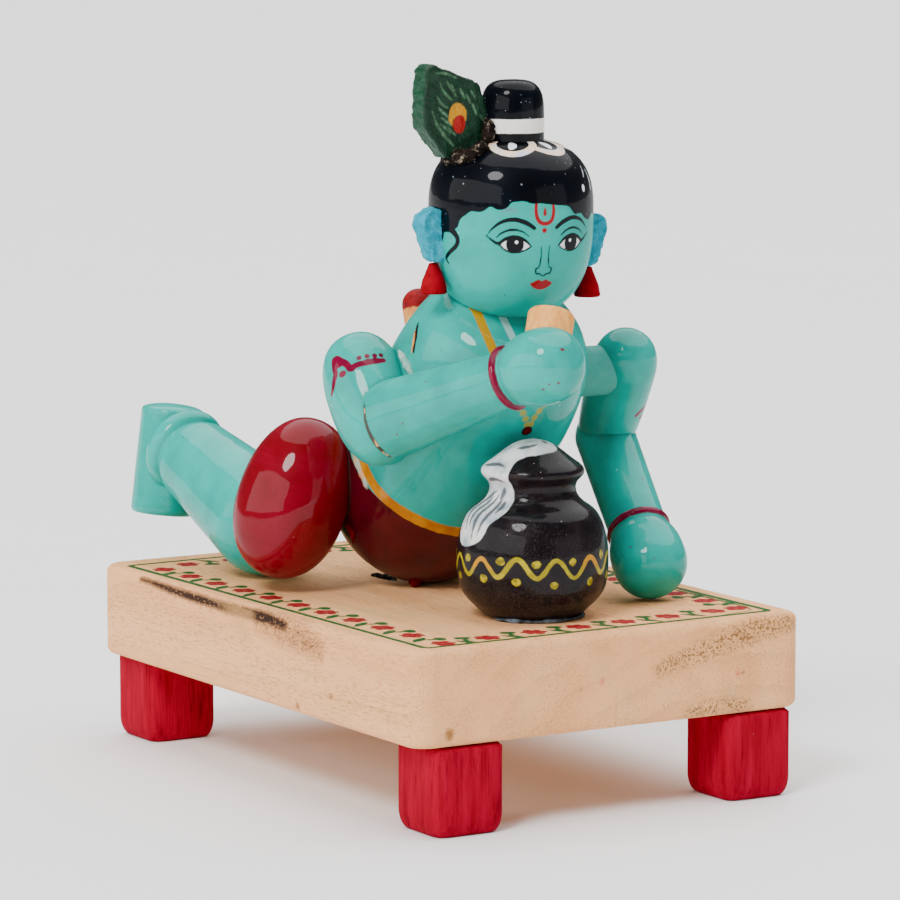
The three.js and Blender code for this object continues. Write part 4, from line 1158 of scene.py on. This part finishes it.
class Look:
    """A node material that is painted coat by coat. Sizes in it are millimetres."""

    def __init__(self, name, roughness, specular, coat=0.0, coat_roughness=0.3):
        self.material = bpy.data.materials.new(name)
        self.material.use_nodes = True
        self.tree = self.material.node_tree
        self.shader = self.tree.nodes["Principled BSDF"]
        for socket, value in (("Roughness", roughness), ("Specular IOR Level", specular),
                              ("Coat Weight", coat), ("Coat Roughness", coat_roughness)):
            self.shader.inputs[socket].default_value = value
        self.place = self.stretched(self.node("ShaderNodeTexCoord").outputs["Object"], (1 / MM,) * 3)
        self.colour = None
        self.height = None

    def node(self, kind, inputs=(), **settings):
        node = self.tree.nodes.new(kind)
        for key, value in settings.items():
            setattr(node, key, value)
        for i, value in inputs.items() if isinstance(inputs, dict) else enumerate(inputs):
            if isinstance(value, bpy.types.NodeSocket):
                self.tree.links.new(value, node.inputs[i])
            else:
                node.inputs[i].default_value = value
        return node

    def math(self, operation, *values):
        return self.node("ShaderNodeMath", values, operation=operation).outputs[0]

    def both(self, a, b):
        return self.math("MULTIPLY", a, b)

    def stretched(self, place, stretch):
        return self.node("ShaderNodeVectorMath", [place, stretch], operation="MULTIPLY").outputs[0]

    def noise(self, size, detail=2, stretch=None, rough=0.5):
        place = self.stretched(self.place, stretch) if stretch else self.place
        inputs = {"Vector": place, "Scale": 1 / size, "Detail": detail, "Roughness": rough}
        return self.node("ShaderNodeTexNoise", inputs).outputs[0]

    def ramp(self, value, start, end, low=0.0, high=1.0):
        return self.node("ShaderNodeMapRange", [value, start, end, low, high]).outputs[0]

    def patches(self, size, detail, start, end, stretch=None, rough=0.5):
        """Soft patches: 0 where noise of a size is under start, and 1 where it is over end."""
        return self.ramp(self.noise(size, detail, stretch, rough), start, end)

    def specks(self, size, share, radius):
        """Small dots scattered over a share of the cells of a given size."""
        cells = self.node("ShaderNodeTexVoronoi", {"Vector": self.place, "Scale": 1 / size})
        chosen = self.node("ShaderNodeSeparateColor", [cells.outputs["Color"]]).outputs[0]
        chosen = self.math("LESS_THAN", chosen, share)
        return self.both(chosen, self.ramp(cells.outputs["Distance"], radius, radius * 0.6))

    def turning(self, scale, start, end):
        """Bands round a turned piece, as the lathe and the brush leave them."""
        along = self.node("ShaderNodeCombineXYZ", [0.0, 0.0, self.layer("along")]).outputs[0]
        bands = self.node("ShaderNodeTexNoise", {"Vector": along, "Scale": scale, "Detail": 3.0}).outputs[0]
        return self.ramp(bands, start, end)

    def layer(self, name):
        return self.node("ShaderNodeAttribute", attribute_name=name).outputs["Fac"]

    def mask(self, name, soft=0.07, wobble=0.12, size=0.9):
        """Where a painted layer covers: 1 inside its edge, which the brush leaves a little uneven."""
        uneven = self.math("MULTIPLY_ADD", self.noise(size), 2 * wobble, -wobble)
        return self.ramp(self.math("ADD", self.layer(name), uneven), soft, -soft)

    def near(self, name, reach, wobble, size):
        """1 on a layer's edge and inside it, fading to 0 at a distance outside."""
        distance = self.math("MULTIPLY_ADD", self.noise(size, 3), wobble, self.layer(name))
        return self.ramp(distance, reach, 0)

    def mix(self, mask, below, above):
        inputs = {0: mask, 6: shown(below), 7: shown(above)}
        return self.node("ShaderNodeMix", inputs, data_type="RGBA").outputs[2]

    def blend(self, below, above, *patches, **settings):
        """Two colours that run into each other in patches."""
        return self.mix(self.patches(*patches, **settings), below, above)

    def coat(self, mask, colour, strength=None):
        if strength is not None:
            mask = self.both(mask, strength)
        self.colour = self.mix(mask, self.colour, colour)

    def mottle(self, colour, strength, *patches, **settings):
        """A coat in soft patches."""
        self.coat(self.patches(*patches, **settings), colour, strength)

    def fleck(self, colour, strength, size, share, radius):
        """A coat of scattered specks."""
        self.coat(self.specks(size, share, radius), colour, strength)

    def paint(self, layer, colour, soft, wobble, size=0.9, strength=None):
        """A coat where a painted layer covers."""
        self.coat(self.mask(layer, soft, wobble, size), colour, strength)

    def raise_by(self, height, amount):
        height = self.both(height, amount)
        self.height = height if self.height is None else self.math("ADD", self.height, height)

    def bumps(self, amount, *noise_settings, **settings):
        self.raise_by(self.noise(*noise_settings, **settings), amount)

    def done(self):
        self.tree.links.new(self.colour, self.shader.inputs["Base Color"])
        bump = self.node("ShaderNodeBump", {"Strength": 1.0, "Distance": MM, "Height": self.height})
        for socket in ("Normal", "Coat Normal"):
            self.tree.links.new(bump.outputs[0], self.shader.inputs[socket])
        return self.material


TURQUOISE = (4, 154, 142)
TURQUOISE_DARK = (2, 130, 118)
TURQUOISE_LIGHT = (12, 166, 154)
RED = (122, 0, 28)
MAGENTA = (116, 0, 46)
INK = (6, 8, 14)
HAIR = (1, 4, 9)
WHITE = (214, 224, 222)
BARE = (222, 158, 96)
GRIME = (52, 30, 20)
PAINT_ROUGHNESS = 0.45
LACQUER_ROUGHNESS = 0.045
HEAD_COAT = 0.2
POT_COAT = 0.3
SHORTS_COAT = 0.36
BODY_COAT = 0.42


def lacquer(name, coat=BODY_COAT):
    look = Look(name, PAINT_ROUGHNESS, 0.03, coat, LACQUER_ROUGHNESS)
    look.colour = look.blend(TURQUOISE, TURQUOISE_LIGHT, 7, 3, 0.35, 0.65)
    look.mottle(TURQUOISE_DARK, 0.55, 11, 2, 0.5, 0.72, rough=0.6)
    look.coat(look.turning(1.6, 0.52, 0.75), TURQUOISE_DARK, 0.22)
    look.fleck((4, 50, 46), 0.85, 2.8, 0.2, 0.065)
    look.fleck((110, 6, 60), 0.8, 4.6, 0.12, 0.05)
    look.fleck((120, 200, 190), 0.8, 5.3, 0.12, 0.06)
    look.bumps(0.10, 4.5, 1)
    look.bumps(0.012, 1.1)
    look.raise_by(look.specks(4.1, 0.2, 0.12), 0.02)
    return look


def with_seam(look, reach=0.7, strength=0.75):
    """Painted shade in a darker turquoise near where one piece meets the next, and a thin line of dirt and
    glue.
    """
    # painted shade: the paint darkened near the joint
    look.coat(look.near("seam", reach * 1.6, 0.7, 1.6), (4, 84, 70), 0.5)
    # a thin line of dirt and glue at the joint
    line = look.near("seam", reach * 0.6, 0.5, 1.1)
    look.coat(look.both(line, look.patches(2.6, 2, 0.4, 0.6)), GRIME, strength)
    return look


def head_look():
    look = with_seam(lacquer("head_lacquer", HEAD_COAT), 0.5, 0.4)
    look.paint("smudge", (110, 100, 120), 0.3, 0.5, strength=0.5)
    look.paint("red", (140, 8, 22), 0.09, 0.07)
    look.paint("white", WHITE, 0.06, 0.04)
    look.paint("ink", INK, 0.07, 0.05)
    hair = look.mask("hair", 0.07, 0.07)
    look.coat(hair, look.blend(HAIR, (4, 9, 18), 8, 2, 0.4, 0.7))
    flecks = look.math("MAXIMUM", look.specks(2.2, 0.35, 0.1), look.specks(1.1, 0.35, 0.13))
    look.coat(look.both(hair, flecks), (120, 132, 150), 0.9)
    look.paint("cream", look.blend((236, 208, 178), (190, 198, 216), 5, 2, 0.4, 0.65), 0.08, 0.08)
    # White drops in the scallops, and painted highlights on the hair and in the eyes.
    look.paint("drops_and_glints", (226, 232, 236), 0.06, 0.04)
    return look.done()


def topknot_look():
    look = Look("hair_lacquer", PAINT_ROUGHNESS, 0.02, HEAD_COAT, LACQUER_ROUGHNESS)
    look.colour = look.blend(HAIR, (5, 10, 18), 6, 2, 0.4, 0.7)
    flecks = look.math("MAXIMUM", look.specks(1.5, 0.4, 0.12), look.specks(0.9, 0.35, 0.14))
    look.coat(flecks, (128, 138, 152), 0.9)
    look.paint("band", (240, 236, 228), 0.08, 0.12, 1.5)
    look.bumps(0.05, 3)
    look.raise_by(look.specks(1.7, 0.3, 0.12), 0.04)
    return look.done()


def torso_look():
    look = lacquer("torso_lacquer")
    look.paint("shorts", look.blend((74, 0, 16), (58, 0, 12), 6, 3, 0.4, 0.7), 0.1, 0.15, 2)
    look.paint("bare", look.blend((222, 162, 118), (176, 186, 170), 1.6, 3, 0.4, 0.6), 0.4, 0.7, 1.8, 0.9)
    look.paint("belt", look.blend((190, 126, 0), (168, 98, 0), 3, 2, 0.35, 0.65), 0.1, 0.35, 3)
    look.paint("yellow", (178, 130, 0), 0.09, 0.1)
    look.paint("thread", (160, 200, 196), 0.1, 0.12, strength=0.8)
    look.paint("beads", (176, 156, 0), 0.16, 0.16, 0.6, 0.75)
    look.paint("pendant", (20, 8, 8), 0.1, 0.1)
    look.paint("pendant_red", (96, 0, 8), 0.1, 0.06)
    look.paint("drips", (40, 2, 2), 0.2, 0.5, strength=0.8)
    look.paint("slit", (34, 16, 10), 0.08, 0.25, 0.7)
    look.paint("slit_light", (206, 140, 84), 0.08, 0.15, 0.7)
    return with_seam(look).done()


def limb_look():
    look = lacquer("limb_lacquer")
    look.paint("red", look.blend(MAGENTA, (98, 0, 38), 2, 2, 0.4, 0.7), 0.08, 0.12, 1.6)
    with_seam(look)
    edge = look.near("butt", 0.7, 0.5, 1.3)
    look.coat(look.both(look.ramp(edge, 0.2, 0.6), look.patches(2.1, 2, 0.32, 0.42)), (64, 30, 20), 0.9)
    look.coat(look.both(look.ramp(edge, 0.5, 0.7), look.patches(1.6, 2, 0.55, 0.61)), BARE)
    return look.done()


def shorts_look():
    look = Look("shorts_lacquer", 0.4, 0.02, SHORTS_COAT, 0.035)
    look.colour = look.blend(RED, (108, 0, 14), 8, 3, 0.35, 0.7)
    look.coat(look.turning(1.3, 0.5, 0.8), (92, 0, 6), 0.4)
    look.fleck((206, 80, 84), 0.7, 2.8, 0.14, 0.05)
    look.fleck((60, 0, 8), 0.8, 3.7, 0.1, 0.06)
    look.bumps(0.09, 4.5, 1)
    look.raise_by(look.specks(2.8, 0.25, 0.1), 0.03)
    return look.done()


def pot_look():
    look = Look("pot_lacquer", 0.4, 0.02, POT_COAT, LACQUER_ROUGHNESS)
    look.colour = look.blend((14, 10, 14), (26, 18, 21), 5, 3, 0.4, 0.7)
    low = look.ramp(look.layer("along"), 10, 5)
    gold = look.patches(0.26, 2, 0.56, 0.66)
    look.coat(look.both(gold, look.patches(3, 2, 0.35, 0.6)), (80, 68, 58), 0.25)
    look.coat(look.both(low, look.patches(0.24, 2, 0.56, 0.66)), (92, 82, 70), 0.3)
    look.fleck((160, 150, 140), 0.8, 2.4, 0.25, 0.06)
    look.paint("dots", look.blend((116, 102, 2), (176, 160, 8), 1, 2, 0.4, 0.6), 0.1, 0.22, 0.8)
    wave = look.mask("wave", 0.1, 0.16, 1.3)
    look.coat(wave, look.blend((146, 132, 0), (176, 160, 6), 2.2, 2, 0.42, 0.6))
    look.coat(look.both(wave, look.mask("orange", 0.7, 0.3)), (188, 128, 0))
    butter = look.mask("butter", 0.12, 0.2, 1.4)
    thin = look.ramp(look.noise(3.4, 3), 0.2, 0.5, 0.78, 1.0)
    look.coat(look.both(butter, thin), look.blend((220, 220, 218), (140, 156, 168), 4, 2, 0.4, 0.7))
    look.coat(look.both(butter, look.mask("strokes", 0.14, 0.2)), (50, 58, 66), 0.85)
    look.bumps(0.07, 3.6, 1)
    look.raise_by(butter, 0.05)
    look.raise_by(gold, 0.015)
    return look.done()


def feather_look():
    look = Look("feather_paint", 0.5, 0.12, 0.2)
    look.colour = look.blend((2, 34, 18), (4, 48, 28), 2.4, 4, 0.35, 0.65)
    side = look.ramp(look.layer("sides"), -0.2, -1.0)
    look.coat(side, look.blend((3, 52, 30), (6, 68, 42), 1.4, 4, 0.35, 0.65))
    look.mottle((1, 28, 14), 0.6, 0.9, 3, 0.55, 0.75, (1.0, 1.0, 0.25))
    faint = look.ramp(look.noise(1.2, 3), 0.3, 0.65, 0.15, 0.6)
    look.paint("pale", (104, 150, 112), 0.22, 0.2, 0.7, faint)
    look.paint("yellow", (184, 126, 0), 0.12, 0.2, 1.0)
    look.paint("red", (146, 6, 4), 0.12, 0.15, 1.0)
    look.bumps(0.22, 1.1, 4, rough=0.65)
    look.bumps(0.05, 0.4)
    return look.done()


def rough_paint(name, colour, light, dark, roughness, relief, grain=None):
    look = Look(name, roughness, 0.02)
    look.colour = look.blend(colour, light, 2.2, 4, 0.35, 0.65, grain, 0.6)
    look.mottle(dark, 0.7, 1.2, 4, 0.56, 0.75, grain, 0.65)
    look.bumps(relief, 0.8, 4, grain, 0.65)
    look.bumps(relief * 0.4, 0.3, 2, grain)
    return look


def stool_leg_look():
    grain, fine_grain = (1.0, 1.0, 0.12), (1, 1, 0.05)
    look = rough_paint("stool_leg_paint", (142, 0, 29), (166, 0, 42), (92, 0, 14), 0.6, 0.10, grain)
    look.mottle((84, 0, 12), 0.4, 0.5, 3, 0.58, 0.72, fine_grain)
    look.fleck((220, 130, 150), 0.7, 2.2, 0.06, 0.05)
    look.bumps(0.2, 0.5, 3, fine_grain)
    return look.done()


def board_look():
    """Bare wood whose grain runs along the board: rings round a pith far below, and pores as dashes."""
    look = Look("board_wood", 0.7, 0.12)
    look.colour = look.blend((246, 184, 128), (238, 170, 114), 14, 3, 0.35, 0.68, (1.0, 0.06, 1.0))
    parts = look.node("ShaderNodeSeparateXYZ", [look.place])
    bend = look.math("MULTIPLY_ADD", look.noise(26, 2, (1.0, 0.12, 1.0)), 16.0, -8.0)
    x = look.math("ADD", look.math("SUBTRACT", parts.outputs[0], 30.0), bend)
    z = look.math("ADD", parts.outputs[2], 46.0)
    away = look.math("SQRT", look.math("ADD", look.both(x, x), look.both(z, z)))
    uneven = look.math("MULTIPLY_ADD", look.noise(5, 2, (1.0, 0.1, 1.0)), 0.45, look.both(away, 0.155))
    rings = look.math("FRACT", uneven)
    late = look.both(look.ramp(rings, 0.55, 0.95), look.ramp(rings, 1.0, 0.95))
    look.coat(late, (188, 132, 76), look.ramp(look.noise(18, 2), 0.3, 0.7, 0.06, 0.3))
    fibre = look.noise(0.55, 3, (1.0, 0.03, 1.0), 0.6)
    look.coat(look.ramp(fibre, 0.52, 0.74), (184, 130, 78), 0.42)
    look.mottle((220, 154, 100), 0.5, 9, 3, 0.56, 0.74, (1.0, 0.35, 1.0))
    look.mottle((196, 176, 122), 0.35, 15, 2, 0.58, 0.75, (1.0, 0.3, 1.0))
    side = look.ramp(parts.outputs[2], -0.5, -1.4, 0.3, 1.0)
    dashes = look.patches(0.3, 2, 0.57, 0.66, (1.0, 0.14, 1.0))
    pores = look.both(dashes, look.patches(11, 2, 0.3, 0.55, (1, 0.3, 1)))
    look.coat(look.both(pores, side), (120, 58, 34), 0.8)
    grain = look.noise(0.32, 3, (1.0, 0.35, 1.0), 0.7)
    look.coat(look.near("patch", 4.0, 2.0, 3.5), (168, 110, 66), 0.5)
    for layer, reach, wobble, size, start, end, colour, strength in (
            ("patch", 4.0, 2.0, 2.5, 0.46, 0.6, (64, 36, 22), 0.8),
            ("streak", 1.6, 1.3, 1.6, 0.36, 0.55, (70, 40, 26), 0.8),
            ("streak", 0.9, 0.5, 2.6, 0.24, 0.4, (34, 18, 12), 0.95)):
        stain = look.both(look.near(layer, reach, wobble, size), look.ramp(grain, start, end))
        look.coat(stain, colour, strength)
    dots = look.patches(0.42, 2, 0.54, 0.6, (1.0, 0.4, 1.0))
    holes = look.both(look.near("pores", 2.2, 1.6, 2.0), dots)
    look.coat(holes, (64, 34, 16), 0.95)
    look.coat(look.near("pores", 3.0, 1.5, 3.0), (204, 146, 88), 0.4)
    look.paint("spots", (220, 60, 70), 0.4, 0.6, 1.2, 0.6)
    look.paint("knots", (126, 70, 14), 0.4, 0.5, 0.9, 0.75)
    look.mottle((204, 150, 96), 0.5, 0.5, 2, 0.62, 0.75, (1.0, 0.02, 0.02))
    faded = look.ramp(look.noise(0.7, 3), 0.25, 0.5, 0.82, 1.0)
    faint = look.ramp(look.noise(0.9, 3), 0.35, 0.6, 0.3, 0.9)
    look.paint("olive", (70, 110, 34), 0.12, 0.2, 0.7, faint)
    look.paint("green", (0, 80, 34), 0.1, 0.18, 0.7, faded)
    look.paint("red", (142, 0, 24), 0.1, 0.22, 0.7, faded)
    look.paint("pink", (196, 60, 64), 0.14, 0.2, 0.6, 0.6)
    look.raise_by(fibre, -0.05)
    look.raise_by(pores, -0.1)
    look.raise_by(holes, -0.2)
    look.bumps(0.12, 12)
    return look.done()


def peg_look(name):
    grain = (1.0, 1.0, 0.18)
    look = Look(name, 0.62, 0.15)
    look.colour = look.blend((240, 172, 92), (226, 148, 72), 1.3, 3, 0.35, 0.65, grain)
    look.mottle((176, 96, 40), 0.5, 0.4, 3, 0.56, 0.7, grain)
    look.bumps(0.08, 0.5, 3, grain)
    return look


def back_peg_look():
    look = peg_look("peg_wood")
    look.mottle((214, 96, 66), 0.6, 3, 2, 0.4, 0.6)
    cap_start = PEG_LENGTH - PEG_RADIUS
    height = look.math("MULTIPLY_ADD", look.noise(1.5, 2), 1.2, look.layer("along"))
    cap = look.ramp(height, cap_start, cap_start + 0.3)
    look.coat(cap, look.blend((140, 0, 12), (108, 0, 8), 1.2, 3, 0.4, 0.65))
    return look.done()


def floor_look():
    look = Look("pale_floor", 0.7, 0.2)
    look.colour = look.mix(look.noise(60, 2), (240, 240, 240), (244, 244, 244))
    look.bumps(0.01, 1.5)
    return look.done()


ROUGH_PAINTS = {
    "ear": ("ear_paint", (10, 134, 156), (48, 162, 184), (4, 92, 118), 0.8, 0.22),
    "earring": ("earring_paint", (128, 0, 16), (150, 2, 26), (78, 0, 8), 0.6, 0.14),
    "glue": ("glue_lump", (56, 148, 136), (70, 152, 140), (46, 138, 126), 0.4, 0.01),
    "drip": ("paint_drip", (84, 0, 8), (112, 2, 14), (34, 2, 4), 0.35, 0.03),
    "pot_glue": ("pot_glue", (30, 28, 28), (96, 106, 114), (4, 4, 4), 0.25, 0.03),
    "clear_glue": ("clear_glue", (96, 160, 148), (170, 190, 178), (50, 128, 116), 0.35, 0.02),
    "old_glue": ("old_glue", (8, 7, 8), (34, 26, 22), (190, 172, 150), 0.5, 0.1)}

# Looks by the name of a piece, of its slot, or of what a strand is made of
LOOKS = {
    "painted_head": head_look(), "painted_torso": torso_look(), "skin": limb_look(), "hair": topknot_look(),
    "shorts": shorts_look(), "pot": pot_look(), "feather": feather_look(), "stool_leg": stool_leg_look(),
    "board": board_look(), "bare_wood": peg_look("butter_wood").done(), "peg": back_peg_look()}
for made_of, paint in ROUGH_PAINTS.items():
    LOOKS[made_of] = rough_paint(*paint).done()
for piece in [thing for thing in bpy.data.objects if thing.get("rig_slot")]:
    piece.data.materials.append(LOOKS.get(piece.name) or LOOKS[piece["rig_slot"]])
for piece, made_of in strands.items():
    piece.data.materials.append(LOOKS[made_of])


# Camera, floor and light

CAMERA_PLACE = Vector((-525.5, -869.7, 201.9)) * MM
CAMERA_RIGHT = Vector((0.8534, -0.5213, 0)).normalized()
CAMERA_AHEAD = Vector((0.5166, 0.8457, -0.1342)).normalized()
FLOOR_REACH = 9.0


def add_to_scene(name, data):
    thing = bpy.data.objects.new(name, data)
    bpy.context.collection.objects.link(thing)
    return thing


camera_data = bpy.data.cameras.new("camera")
camera_data.lens = 200
camera_data.sensor_width = 36
camera_data.clip_start = 0.01
camera = add_to_scene("camera", camera_data)
turn = Matrix((CAMERA_RIGHT, CAMERA_RIGHT.cross(CAMERA_AHEAD), -CAMERA_AHEAD)).transposed().to_4x4()
camera.matrix_world = Matrix.Translation(CAMERA_PLACE) @ turn
bpy.context.scene.camera = camera

floor_mesh = bpy.data.meshes.new("floor")
corners = [(x * FLOOR_REACH, y * FLOOR_REACH, 0) for x, y in ((-1, -1), (1, -1), (1, 1), (-1, 1))]
floor_mesh.from_pydata(corners, [], [(0, 1, 2, 3)])
floor_mesh.materials.append(floor_look())
add_to_scene("floor", floor_mesh)


def panel_light(name, place, aim, width, height, power):
    data = bpy.data.lights.new(name, "AREA")
    data.shape = "RECTANGLE"
    data.size, data.size_y = width, height
    data.energy = power
    light = add_to_scene(name, data)
    light.location = place
    light.rotation_euler = (Vector(aim) - Vector(place)).to_track_quat("-Z", "Y").to_euler()


def sun_light(name, direction, angle, strength):
    """A round soft light far away, towards a direction from the toy."""
    data = bpy.data.lights.new(name, "SUN")
    data.angle = angle
    data.energy = strength
    add_to_scene(name, data).rotation_euler = Vector(direction).to_track_quat("Z", "Y").to_euler()


sun_light("top_light", (0.3, 0.2, 0.93), 1.5, 4.8)
sun_light("small_key", (-0.61, -0.35, 0.71), 0.34, 2.8)
panel_light("left_panel", (-1.5, -0.15, 0.58), (0, -0.15, 0.42), 2.8, 0.8, 21)
panel_light("right_panel", (0.8, -1.6, 0.4), (0, 0, 0.1), 1.5, 0.8, 3.4)

world = bpy.data.worlds.new("studio")
world.use_nodes = True
background = world.node_tree.nodes["Background"]
background.inputs["Color"].default_value = (0.95, 0.97, 1.0, 1)
background.inputs["Strength"].default_value = 0.11
bpy.context.scene.world = world
